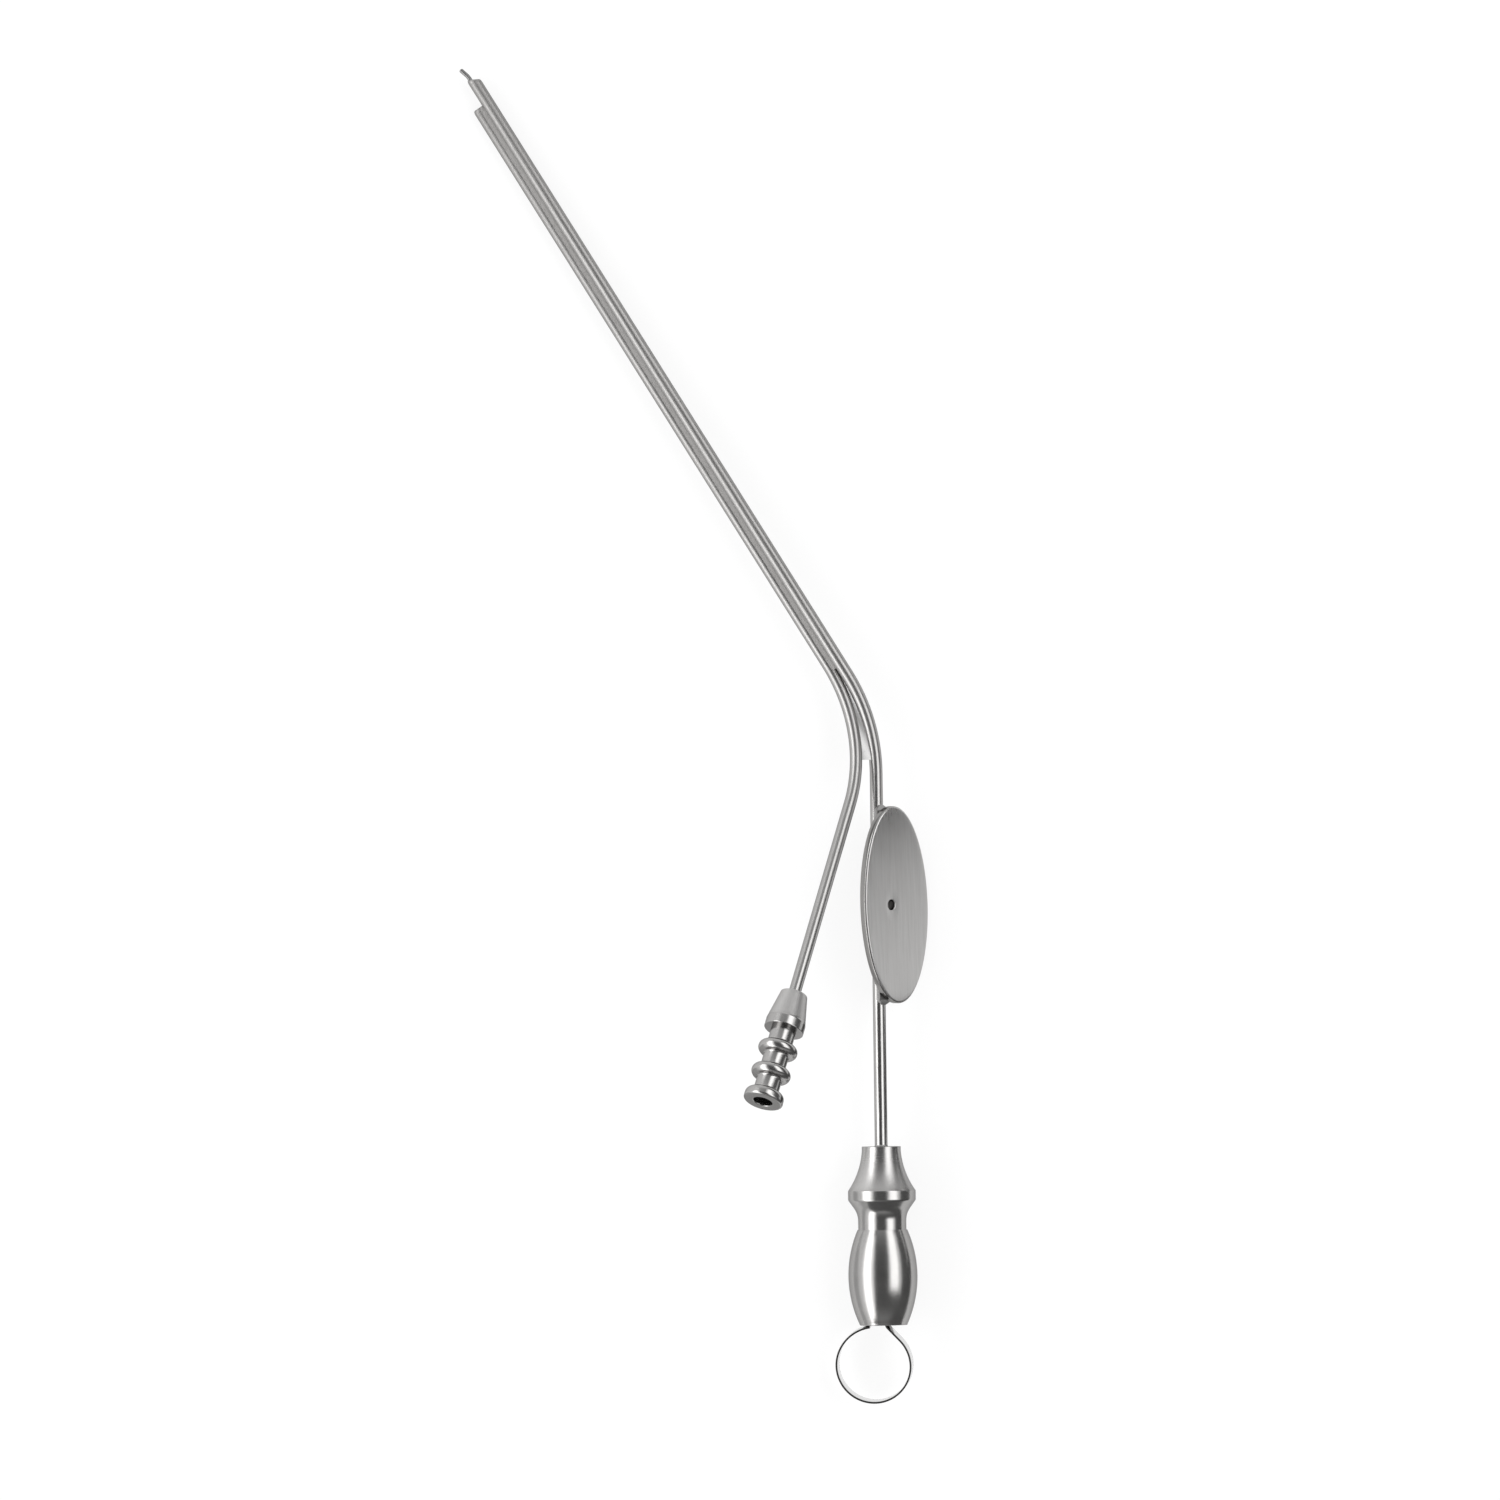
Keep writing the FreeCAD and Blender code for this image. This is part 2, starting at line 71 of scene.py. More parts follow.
# Suction tube
SUCTION_RADIUS = 0.835
SUCTION_WALL = 0.19
GRIP_LENGTH = 55.42
SHAFT_LENGTH = 98.25
BEND_ANGLE = 31.4
BEND_RADIUS = 24.7
BEND_DIP_ANGLE = 3.34
TIP_ANGLE = 20.0
SEAT_DEPTH = 16.4
SEAT_RADIUS = 0.855
SEAT_BORE = 0.645
ROLL_LENGTH = 0.55          # the tubes' ends are rolled in over this length, by the next line
ROLL_DEPTH = 0.26
SLANT_LENGTH = 3.0
TUBE_EDGE = 0.05
TUBE_SIDES = 72

# Irrigation tube
IRRIGATION_RADIUS = 0.80
IRRIGATION_WALL = 0.18
IRRIGATION_SETBACK = 3.5
PAIR_ANGLE = 27.0
PAIR_GAP = 0.02
BRANCH_START = -1.1
BRANCH_RADIUS = 21.5
BRANCH_SPREAD_ANGLE = 17.2
BRANCH_RISE_ANGLE = 24.0
BRANCH_LENGTH = 38.6

# Irrigation connector, with places along its axis and out from it
SOCKET_DEPTH = 3.4
SOCKET_RADIUS = 0.82
SOCKET_BORE = 0.62
HOSE_END_LENGTH = 15.71
HOSE_END_BORE = 1.25
HOSE_END_BORE_END = 4.4
CONE_START = (0.0, 1.77)
CONE_END = (3.93, 2.56)
BAND_START = 4.05
BAND_END = 5.28
BAND_RADIUS = 2.60
NECK_RADIUS = 1.64
BEAD_COUNT = 3
BEAD_START = 8.13
BEAD_SPACING = 3.43
BEAD_RADIUS = 2.60
BEAD_ROUND = 0.78
BEAD_FILLET = 0.25

# Finger plate and vent
PLATE_LENGTH = 25.6
PLATE_WIDTH = 12.3
PLATE_THICKNESS = 1.12
PLATE_EDGE = 0.34
PLATE_GAP = 0.43
PLATE_TURN_ANGLE = 48.25
PLATE_SKEW_ANGLE = 1.9
PLATE_SHIFT = 1.11
PLATE_POSITION = 31.35
PLATE_TWIST = 0.0100        # how far its face's slope turns for each mm along it
PLATE_BACK_EDGE = 0.25
VENT_RADIUS = 0.66
VENT_EDGE = 0.18
VENT_IN_TUBE = 0.55

# Solder
SEAM_ANGLE = 62.0
SEAM_SAG = 0.05
SEAM_SINK = 0.03
SEAM_PAST_BEND = 1.0
BED_HALF_WIDTH = 1.35
BED_ANGLE_ON_TUBE = 12.0
BED_INSIDE_EDGE = 0.25      # where the bed starts to run out, and how far past the plate it ends
BED_PAST_EDGE = 0.38
BED_HOLLOW = 0.132
BED_SINK = 0.02             # into the tube, and then into the plate
BED_LAP = 0.03
WEB_THICKNESS = 0.55
WEB_START = 60.4
WEB_END = 50.2
WEB_TAPER = 6.0
WEB_THIN_HALF = 0.04
WEB_FILLET = 0.05
WEB_FILLET_REACH = 0.22
WEB_SINK = 0.10
JOINT_FILLET = 0.22
JOINT_SINK = 0.05
JOINT_LAP = 0.02

# Stylet
WIRE_RADIUS = 0.275
WIRE_CLEARANCE = 0.01
WIRE_OUT = 2.03
WIRE_HOOK_ANGLE = 17.0
WIRE_HOOK_RADIUS = 2.5
WIRE_END_ROUND = 0.20
STRIP_THICKNESS = 0.24
STRIP_WIDTH = 2.1
STRIP_CLEARANCE = 0.03
STRIP_EDGE = 0.04
RING_RADIUS = 4.86
RING_MIDDLE = Vector((-1.32, -5.21, 0))
RING_TILT_ANGLE = 12.0
RING_TILT_SIDE_ANGLE = 45.0
RING_END_ANGLE = 94.0
RING_END_LIFT = 0.22
RING_LIFT_ANGLE = 60.0
TAIL_LENGTH = 2.4
TAIL_RADIUS = 0.8
WIRE_OVERLAP = 1.7
DROP_OFFSET = 0.16
DROP_HALF_WIDTH = 0.13
DROP_HALF_HEIGHT = 0.29

# Finishes: the lengths over which they change, in mm, and how far steel leans to warm
TUBE_SPAN = 180.0
TURNED_SPAN = 30.0
STEEL_WARMTH = 0.006
WIRE_WARMTH = 0.002

# Studio, in metres: table, light, painted reflections and camera
TABLE_HALF_WIDTH = 6.0
TABLE_ALBEDO = 0.95
TABLE_GLOW = 0.80
ROOM_FILL = 0.65
# Each softbox has its edges' angles from straight up, distance, both ends along Y, and radiance
SOFTBOXES = (
    ("left_softbox", -70, -34, 1.0, (-1.3, 1.0), 0.9),
    ("left_softbox_middle", -66, -41, 0.99, (-1.2, 0.9), 1.5),
    ("right_softbox", 20, 65, 1.0, (-0.35, 1.1), 0.9),
    ("right_softbox_middle", 27, 54, 0.99, (-0.30, 1.0), 1.5),
)
# Outlines of the painted reflection sheets seen from above, and their heights
PAINTED_SHEET_LIFT = 0.0004
STANDING_PAINTED_SHADE_BOTTOM = 0.0005
STANDING_PAINTED_SHADE_TOP = 0.05
STANDING_PAINTED_SHADE = ((0.13, 0.35), (0.13, -0.08), (0.10, -0.125), (-0.02, -0.125))
DARK_PAINTED_SHADE = ((0.047, -0.30), (0.35, -0.30), (0.35, -0.075), (0.10, -0.058),
             (0.060, -0.042), (0.029, -0.034), (0.029, -0.050), (0.047, -0.058))
PALE_PAINTED_REFLECTION = ((-0.30, -0.30), (0.006, -0.30), (0.006, -0.05), (-0.30, -0.05))
CAMERA_PLACE = (0.00685, -0.00195, 3.0)
CAMERA_TURN = -0.0136
FRAME_WIDTH = 0.195

X_AXIS = Vector((1, 0, 0))
Y_AXIS = Vector((0, 1, 0))
Z_AXIS = Vector((0, 0, 1))


def turned(vector, axis, degrees):
    """The vector, turned about an axis."""
    return Matrix.Rotation(math.radians(degrees), 3, axis) @ Vector(vector)


def wave(place, size, seed=0.0):
    """Smooth unevenness between -1 and 1 over lengths of about size."""
    return noise.noise(Vector(place) / size + Vector((seed, 2 * seed, 3 * seed)))


# Directions and places that several pieces share
bend_normal = turned(Z_AXIS, Y_AXIS, -BEND_DIP_ANGLE)
shaft_direction = turned(Y_AXIS, bend_normal, BEND_ANGLE)
beside_shaft = bend_normal.cross(shaft_direction).normalized()
to_irrigation = turned(beside_shaft, shaft_direction, -PAIR_ANGLE)
pair_distance = SUCTION_RADIUS + IRRIGATION_RADIUS + PAIR_GAP
spread = math.radians(BRANCH_SPREAD_ANGLE)
rise = math.radians(BRANCH_RISE_ANGLE)
branch_direction = Vector((-math.sin(spread) * math.cos(rise), -math.cos(spread) * math.cos(rise),
                           math.sin(rise)))
tube_seat = Y_AXIS * SEAT_DEPTH
handle_front = Y_AXIS * HANDLE_LENGTH
bend_corner = handle_front + Y_AXIS * GRIP_LENGTH
suction_tip = bend_corner + shaft_direction * SHAFT_LENGTH
irrigation_tip = suction_tip - shaft_direction * IRRIGATION_SETBACK + to_irrigation * pair_distance
branch_corner = bend_corner + shaft_direction * BRANCH_START + to_irrigation * pair_distance
branch_end = branch_corner + branch_direction * BRANCH_LENGTH
plate_normal = turned(Z_AXIS, Y_AXIS, PLATE_TURN_ANGLE)
plate_across = turned(X_AXIS, Y_AXIS, PLATE_TURN_ANGLE)
plate_along = turned(Y_AXIS, plate_normal, PLATE_SKEW_ANGLE)
plate_sideways = plate_along.cross(plate_normal)
plate_back = SUCTION_RADIUS + PLATE_GAP
vent_centre = handle_front + Y_AXIS * PLATE_POSITION
vent_on_plate = Vector((-PLATE_SHIFT * plate_across.dot(plate_sideways),
                        -PLATE_SHIFT * plate_across.dot(plate_along)))


# Shapes
def route(points, radii, run=2.0, step=2.0):
    """Points along straight runs joined by tangent arcs: run in mm, step in degrees."""
    line = [Vector(points[0])]

    def straight(end):
        start = line[-1].copy()
        count = max(1, round((end - start).length / run))
        line.extend(start.lerp(end, number / count) for number in range(1, count + 1))

    for before, corner, after, radius in zip(points, points[1:], points[2:], radii):
        incoming = (corner - before).normalized()
        outgoing = (after - corner).normalized()
        angle = math.degrees(incoming.angle(outgoing))
        axis = incoming.cross(outgoing).normalized()
        bend_start = corner - incoming * radius * math.tan(math.radians(angle / 2))
        centre = bend_start + axis.cross(incoming) * radius
        straight(bend_start)
        count = max(2, round(angle / step))
        spoke = bend_start - centre
        line.extend(centre + turned(spoke, axis, angle * number / count)
                    for number in range(1, count + 1))
    straight(Vector(points[-1]))
    return line


def placed(name, data):
    """A mesh, curve, light or camera put into the scene."""
    made = bpy.data.objects.new(name, data)
    bpy.context.scene.collection.objects.link(made)
    return made


def curve_object(name, points, closed=False):
    """A curve of straight pieces through the points."""
    curve = bpy.data.curves.new(name, "CURVE")
    curve.dimensions = "3D"
    spline = curve.splines.new("POLY")
    spline.points.add(len(points) - 1)
    for place, point in zip(spline.points, points):
        place.co = (*point, 1)
    spline.use_cyclic_u = closed
    return placed(name, curve)


def circle(radius, count):
    return [Vector((radius * math.cos(2 * math.pi * number / count),
                    radius * math.sin(2 * math.pi * number / count), 0)) for number in range(count)]


def sweep_tree():
    """A section carried along a path. The grain attribute holds each point on the piece laid straight."""
    tree = bpy.data.node_groups.new("section_along_a_path", "GeometryNodeTree")
    for name, kind in (("Path", "NodeSocketObject"), ("Section", "NodeSocketObject"),
                       ("Closed ends", "NodeSocketBool"), ("Finish", "NodeSocketMaterial")):
        tree.interface.new_socket(name, in_out="INPUT", socket_type=kind)
    tree.interface.new_socket("Piece", in_out="OUTPUT", socket_type="NodeSocketGeometry")
    nodes = {name: tree.nodes.new(kind) for name, kind in (
        ("sizes", "NodeGroupInput"), ("path", "GeometryNodeObjectInfo"),
        ("section", "GeometryNodeObjectInfo"), ("length", "GeometryNodeSplineParameter"),
        ("position", "GeometryNodeInputPosition"), ("along", "GeometryNodeCaptureAttribute"),
        ("around", "GeometryNodeCaptureAttribute"), ("carried", "GeometryNodeCurveToMesh"),
        ("parts", "ShaderNodeSeparateXYZ"), ("grain", "ShaderNodeCombineXYZ"),
        ("store", "GeometryNodeStoreNamedAttribute"), ("smooth", "GeometryNodeSetShadeSmooth"),
        ("real", "GeometryNodeRealizeInstances"), ("coat", "GeometryNodeSetMaterial"),
        ("result", "NodeGroupOutput"))}
    nodes["along"].capture_items.new("FLOAT", "Along")
    nodes["around"].capture_items.new("VECTOR", "Around")
    nodes["store"].data_type = "FLOAT_VECTOR"
    nodes["store"].domain = "POINT"
    nodes["store"].inputs["Name"].default_value = "grain"
    for source, output, target, entry in (
            ("sizes", "Path", "path", "Object"), ("sizes", "Section", "section", "Object"),
            ("path", "Geometry", "along", "Geometry"), ("length", "Length", "along", "Along"),
            ("section", "Geometry", "around", "Geometry"), ("position", "Position", "around", "Around"),
            ("along", "Geometry", "carried", "Curve"), ("around", "Geometry", "carried", "Profile Curve"),
            ("sizes", "Closed ends", "carried", "Fill Caps"), ("around", "Around", "parts", "Vector"),
            ("parts", "X", "grain", "X"), ("parts", "Y", "grain", "Y"), ("along", "Along", "grain", "Z"),
            ("carried", "Mesh", "store", "Geometry"), ("grain", "Vector", "store", "Value"),
            ("store", "Geometry", "smooth", "Geometry"), ("smooth", "Geometry", "real", "Geometry"),
            ("real", "Geometry", "coat", "Geometry"), ("sizes", "Finish", "coat", "Material"),
            ("coat", "Geometry", "result", "Piece")):
        tree.links.new(nodes[source].outputs[output], nodes[target].inputs[entry])
    return tree


def plain_mesh(host):
    """The host's finished shape as a mesh of its own."""
    graph = bpy.context.evaluated_depsgraph_get()
    return bpy.data.meshes.new_from_object(host.evaluated_get(graph), depsgraph=graph)


def swept(name, path, section, finish, closed_ends=False):
    """Run the tree on a path and a section, and return the result as a plain mesh in mm."""
    host = placed(name + "_host", bpy.data.meshes.new(name + "_host"))
    line = curve_object(name + "_path", path)
    outline = curve_object(name + "_section", section, closed=True)
    modifier = host.modifiers.new("sweep", "NODES")
    modifier.node_group = SWEEP
    keys = {item.name: item.identifier for item in SWEEP.interface.items_tree if item.in_out == "INPUT"}
    modifier[keys["Path"]] = line
    modifier[keys["Section"]] = outline
    modifier[keys["Closed ends"]] = closed_ends
    modifier[keys["Finish"]] = finish
    mesh = plain_mesh(host)
    for helper in (host, line, outline):
        bpy.data.objects.remove(helper)
    mesh.name = name
    return mesh


def clean_mesh(mesh):
    """Merge doubles and turn every face outwards."""
    work = bmesh.new()
    work.from_mesh(mesh)
    bmesh.ops.remove_doubles(work, verts=work.verts, dist=1e-5)
    bmesh.ops.recalc_face_normals(work, faces=work.faces)
    for face in work.faces:
        face.smooth = True
    work.to_mesh(mesh)
    work.free()


def piece(name, mesh, node, finish, sharp=40.0):
    """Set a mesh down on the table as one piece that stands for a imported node."""
    mesh.transform(Matrix.Translation(HANDLE_END * MM) @ Matrix.Scale(MM, 4))
    if not mesh.materials:
        mesh.materials.append(finish)
    mesh.set_sharp_from_angle(angle=math.radians(sharp))
    made = placed(name, mesh)
    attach(made, "root")
    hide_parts(node)


def grid_mesh(name, rows, grain, closed_rows=False, capped=False):
    """Quads between closed rows of points. Grain holds each point on the piece laid straight."""
    mesh = bpy.data.meshes.new(name)
    width = len(rows[0])
    points = [point for row in rows for point in row]
    faces = []
    for row in range(len(rows) if closed_rows else len(rows) - 1):
        after = (row + 1) % len(rows)
        for column in range(width):
            beside = (column + 1) % width
            faces.append((row * width + column, row * width + beside,
                          after * width + beside, after * width + column))
    if capped:
        faces.append(tuple(reversed(range(width))))
        faces.append(tuple((len(rows) - 1) * width + column for column in range(width)))
    mesh.from_pydata([tuple(point) for point in points], [], faces)
    layer = mesh.attributes.new("grain", "FLOAT_VECTOR", "POINT")
    for place, value in enumerate(value for row in grain for value in row):
        layer.data[place].vector = value
    clean_mesh(mesh)
    return mesh


def arc_points(first, middle, last, count):
    """Points of the circle through three places, without the first."""
    (ax, ay), (bx, by), (cx, cy) = first, middle, last
    double = 2 * (ax * (by - cy) + bx * (cy - ay) + cx * (ay - by))
    ux = ((ax * ax + ay * ay) * (by - cy) + (bx * bx + by * by) * (cy - ay)
          + (cx * cx + cy * cy) * (ay - by)) / double
    uy = ((ax * ax + ay * ay) * (cx - bx) + (bx * bx + by * by) * (ax - cx)
          + (cx * cx + cy * cy) * (bx - ax)) / double
    radius = math.hypot(ax - ux, ay - uy)
    start = math.atan2(ay - uy, ax - ux)
    via = (math.atan2(by - uy, bx - ux) - start) % (2 * math.pi)
    sweep = (math.atan2(cy - uy, cx - ux) - start) % (2 * math.pi)
    if via > sweep:
        sweep -= 2 * math.pi
    return [(ux + radius * math.cos(start + sweep * number / count),
             uy + radius * math.sin(start + sweep * number / count)) for number in range(1, count + 1)]


class Section:
    """Half the section of a turned piece, with places along its axis and out from it."""

    def __init__(self, along, out):
        self.points = [(along, out)]

    def line(self, along, out, soft=0.0):
        """A straight cut to a corner that is then broken by a small round."""
        self.points.append((along, out, soft) if soft else (along, out))

    def arc(self, middle, end, count):
        """A round cut from the last place through the middle to the end."""
        self.points += arc_points(self.points[-1][:2], middle, end, count)

    def softened(self):
        """The closed outline with its marked corners rounded."""
        steps = 6
        result = []
        count = len(self.points)
        for number, point in enumerate(self.points):
            if len(point) == 2:
                result.append(point)
                continue
            corner = Vector(point[:2])
            before = Vector(self.points[number - 1][:2]) - corner
            after = Vector(self.points[(number + 1) % count][:2]) - corner
            reach = min(point[2], 0.45 * before.length, 0.45 * after.length)
            first = corner + before.normalized() * reach
            last = corner + after.normalized() * reach
            # The places just before and after the round keep the long faces' shading flat
            result.append(tuple(corner + before.normalized() * reach * 1.1))
            for share in range(steps + 1):
                t = share / steps
                result.append(tuple(first * (1 - t) ** 2 + corner * (2 * t * (1 - t)) + last * t ** 2))
            result.append(tuple(corner + after.normalized() * reach * 1.1))
        return result


def spun_mesh(name, outline_at, origin, axis, segments):
    """Spin a closed half section, which may change on its way round, about an axis."""
    side = axis.cross(Z_AXIS).normalized()
    other = axis.cross(side)
    rows, grain = [], []
    for number in range(segments):
        angle = 2 * math.pi * number / segments
        outward = side * math.cos(angle) + other * math.sin(angle)
        outline = outline_at(angle)
        rows.append([origin + axis * along + outward * out for along, out in outline])
        grain.append([(out * math.cos(angle), out * math.sin(angle), along) for along, out in outline])
    return grid_mesh(name, rows, grain, closed_rows=True)


def turned_mesh(name, section, origin, axis):
    """A body turned on a lathe from its section."""
    outline = section.softened()
    return spun_mesh(name, lambda angle: outline, origin, axis, 144)


def rounded(helper, rounding):
    """Round the sharp edges of a helper and return its mesh, without the helper."""
    lip = helper.modifiers.new("lip", "BEVEL")
    lip.width = rounding
    lip.segments = 4
    lip.limit_method = "ANGLE"
    lip.angle_limit = math.radians(50)
    result = plain_mesh(helper)
    bpy.data.objects.remove(helper)
    return result


def solidified(mesh, wall):
    """Give an open tube its wall, inwards, and break the edges at its ends."""
    helper = placed("wall_helper", mesh)
    solid = helper.modifiers.new("wall", "SOLIDIFY")
    solid.thickness = wall
    solid.offset = -1
    solid.use_even_offset = True
    return rounded(helper, TUBE_EDGE)


# Finishes
class Value:
    """A socket of a material that can stand in sums and products."""

    def __init__(self, finish, socket):
        self.finish = finish
        self.socket = socket

    def maths(self, operation, first, second):
        return self.finish.node("ShaderNodeMath", {"operation": operation}, {0: first, 1: second})

    def __add__(self, other):
        return self.maths("ADD", self, other)

    def __sub__(self, other):
        return self.maths("SUBTRACT", self, other)

    def __rsub__(self, other):
        return self.maths("SUBTRACT", other, self)

    def __mul__(self, other):
        return self.maths("MULTIPLY", self, other)

    __radd__ = __add__
    __rmul__ = __mul__


class Finish:
    """The nodes of one material, or of the room round the table."""

    def __init__(self, owner):
        self.owner = owner
        owner.use_nodes = True
        self.tree = owner.node_tree
        self.tree.nodes.clear()

    def node(self, kind, settings, sockets, output=0):
        """Make a node: its settings first, then the values or links of its sockets."""
        made = self.tree.nodes.new(kind)
        for name, value in settings.items():
            if name == "stops":
                ramp = made.color_ramp.elements
                for number, (place, shade) in enumerate(value):
                    stop = ramp[number] if number < 2 else ramp.new(place)
                    stop.position = place
                    stop.color = (shade, shade, shade, 1) if isinstance(shade, float) else (*shade, 1)
            else:
                setattr(made, name, value)
        for name, value in sockets.items():
            if isinstance(value, Value):
                self.tree.links.new(value.socket, made.inputs[name])
            else:
                made.inputs[name].default_value = value
        return Value(self, made.outputs[output]) if made.outputs else None

    def grain(self, stretch):
        """Places on the piece in its own directions, in mm, stretched."""
        place = self.node("ShaderNodeAttribute", {"attribute_name": "grain"}, {}, "Vector")
        return self.node("ShaderNodeMapping", {"vector_type": "POINT"},
                         {"Vector": place, "Scale": stretch})

    def noise(self, stretch, detail=3.0, rough=0.5, distortion=0.0):
        return self.node("ShaderNodeTexNoise", {"noise_dimensions": "3D"},
                         {"Vector": self.grain(stretch), "Scale": 1.0, "Detail": detail,
                          "Roughness": rough, "Distortion": distortion})

    def part_of_grain(self, letter):
        """One of a place's three distances on the piece, in mm."""
        return self.node("ShaderNodeSeparateXYZ", {}, {0: self.grain((1.0, 1.0, 1.0))}, letter)

    def ramp(self, value, stops):
        """The value read off a scale of stops, each a place from 0 to 1 with its shade."""
        return self.node("ShaderNodeValToRGB", {"stops": stops}, {"Fac": value})

    def mix(self, share, first, second):
        return self.node("ShaderNodeMix", {"data_type": "RGBA"},
                         {"Factor": share, 6: first, 7: second}, 2)

    def close(self, shader):
        outside = isinstance(self.owner, bpy.types.World)
        kind = "ShaderNodeOutputWorld" if outside else "ShaderNodeOutputMaterial"
        self.node(kind, {}, {"Surface": shader})
        return self.owner

    def in_view(self):
        """One for what the camera sees, also in polished metal, and nothing for light on a surface."""
        seen, glossy, through = (self.node("ShaderNodeLightPath", {}, {}, "Is %s Ray" % kind)
                                 for kind in ("Camera", "Glossy", "Transmission"))
        return self.maximum(self.maximum(seen, glossy), through)

    def maximum(self, first, second):
        return self.node("ShaderNodeMath", {"operation": "MAXIMUM"}, {0: first, 1: second})

    def metal(self, colour, roughness, height, depth, edge_tint=0.5):
        """Close the finish with the metal shader and a bump of the given depth in mm."""
        bump = self.node("ShaderNodeBump", {}, {"Height": height, "Strength": 1.0,
                                                "Distance": depth * MM})
        shader = self.node("ShaderNodeBsdfPrincipled", {},
                           {"Base Color": colour, "Roughness": roughness, "Metallic": 1.0,
                            "Specular Tint": grey(edge_tint), "Normal": bump})
        return self.close(shader)


def new_finish(name):
    return Finish(bpy.data.materials.new(name))


def grey(level, warm=0.0):
    """A colour as pale as its level, with a little more red than blue where warm."""
    return (level + warm, level, level - warm, 1.0)


def steel(level):
    return grey(level, STEEL_WARMTH)


def drawn_tube_finish(name, satin):
    """Drawn stainless tube: fine marks along it, and a satin stretch where satin's stops say so."""
    finish = new_finish(name)
    marks = finish.noise((7.0, 7.0, 0.12), detail=4.0, rough=0.6)
    clouds = finish.noise((0.5, 0.5, 0.16), detail=2.0)
    fine = finish.noise((22.0, 22.0, 0.5), detail=2.0)
    brushed = finish.ramp(finish.part_of_grain("Z") * (1 / TUBE_SPAN),
                          [(place / TUBE_SPAN, share) for place, share in satin])
    polished = finish.mix(marks, steel(0.37), steel(0.46))
    colour = finish.mix(brushed, polished, finish.mix(marks, steel(0.27), steel(0.36)))
    roughness = 0.08 + marks * 0.10 + clouds * 0.08 + brushed * 0.38
    height = marks * 0.7 + clouds * 0.9 + fine * 0.25
    return finish.metal(colour, roughness, height, 0.012)


def turned_finish(name, matt):
    """Turned and polished stainless: faint rings round the axis, matt where matt's stops say so."""
    finish = new_finish(name)
    rings = finish.noise((0.35, 0.35, 11.0), detail=3.0, rough=0.6)
    clouds = finish.noise((0.45, 0.45, 0.35), detail=2.0)
    marks = finish.noise((5.0, 5.0, 0.6), detail=3.0)
    brushed = finish.ramp(finish.part_of_grain("Z") * (1 / TURNED_SPAN),
                          [(place / TURNED_SPAN, share) for place, share in matt])
    polished = finish.mix(clouds, steel(0.37), steel(0.45))
    colour = finish.mix(brushed, polished, finish.mix(marks, steel(0.44), steel(0.54)))
    roughness = 0.13 + rings * 0.08 + clouds * 0.08 + brushed * 0.18
    height = rings * (0.2 + brushed * 0.9) + clouds * 0.8 + marks * 0.2
    return finish.metal(colour, roughness, height, 0.012)


def satin_plate_finish():
    """Satin plate: straight brushing along it, finer at its upper end, and a polished rim whose dark grey,
    on its back and the vent hole's edge too, is painted shade.
    """
    finish = new_finish("satin_plate_steel")
    brushing = finish.noise((14.0, 0.20, 4.0), detail=4.0, rough=0.65)
    coarse = finish.noise((2.4, 0.10, 2.0), detail=3.0)
    clouds = finish.noise((0.20, 0.10, 0.3), detail=2.0)
    streaks = finish.mix(coarse, steel(0.34), steel(0.70))
    face = finish.mix(0.45, finish.mix(brushing, steel(0.42), steel(0.68)), streaks)
    # The rim's dark grey is painted shade, over the rolled edge, the back and the vent hole's edge; its
    # lower roughness is a real polish
    polished_rim_and_shade = finish.ramp(finish.part_of_grain("Z"), ((0.02, 0.0), (0.20, 1.0)))
    colour = finish.mix(polished_rim_and_shade, face, finish.mix(clouds, steel(0.22), steel(0.34)))
    upper = finish.ramp(finish.part_of_grain("Y") * (1 / PLATE_LENGTH) + 0.5,
                        ((0.55, 0.0), (0.97, 1.0)))
    roughness = 0.30 + coarse * 0.10 + clouds * 0.10 - polished_rim_and_shade * 0.22 - (1.0 - polished_rim_and_shade) * upper * 0.12
    twist = finish.part_of_grain("X") * finish.part_of_grain("Y")
    height = (brushing * 0.009 + coarse * 0.008) * (1.0 - polished_rim_and_shade) + clouds * 0.012 + twist * PLATE_TWIST
    return finish.metal(colour, roughness, height, 1.0)


def solder_finish(name, dark, light, lumpy):
    """Silver solder, brushed clean: soft lumps, fine pits and a faintly warm, duller grey."""
    finish = new_finish(name)
    lumps = finish.noise((1.6, 1.6, 0.7), detail=3.0, distortion=0.4)
    pits = finish.ramp(finish.noise((9.0, 9.0, 5.0), detail=2.0), ((0.28, 0.0), (0.40, 1.0)))
    stain = finish.noise((0.9, 0.9, 0.35), detail=4.0, rough=0.6)
    clean = finish.mix(stain, steel(dark), grey(light, STEEL_WARMTH / 2))
    colour = finish.mix(pits, steel(dark * 0.8), clean)
    roughness = 0.42 + stain * 0.16
    height = (lumps + pits * 0.25) * lumpy
    return finish.metal(colour, roughness, height, 0.03)


def spring_steel(name):
    """The marks, the clouds and the height that wire and strip share."""
    finish = new_finish(name)
    marks = finish.noise((9.0, 9.0, 0.25), detail=3.0)
    clouds = finish.noise((0.8, 0.8, 0.3), detail=2.0)
    return finish, marks, clouds, marks * 0.6 + clouds * 0.6


def wire_finish():
    """Drawn spring steel: marks along the wire, and a dark grey that is painted shade."""
    finish, marks, clouds, height = spring_steel("stylet_wire_steel")
    # A dark grey, darker than the other steel: painted shade
    colour = finish.mix(clouds, grey(0.20, WIRE_WARMTH), grey(0.28, WIRE_WARMTH))
    roughness = 0.28 + marks * 0.10 + clouds * 0.06
    return finish.metal(colour, roughness, height, 0.010, edge_tint=0.4)


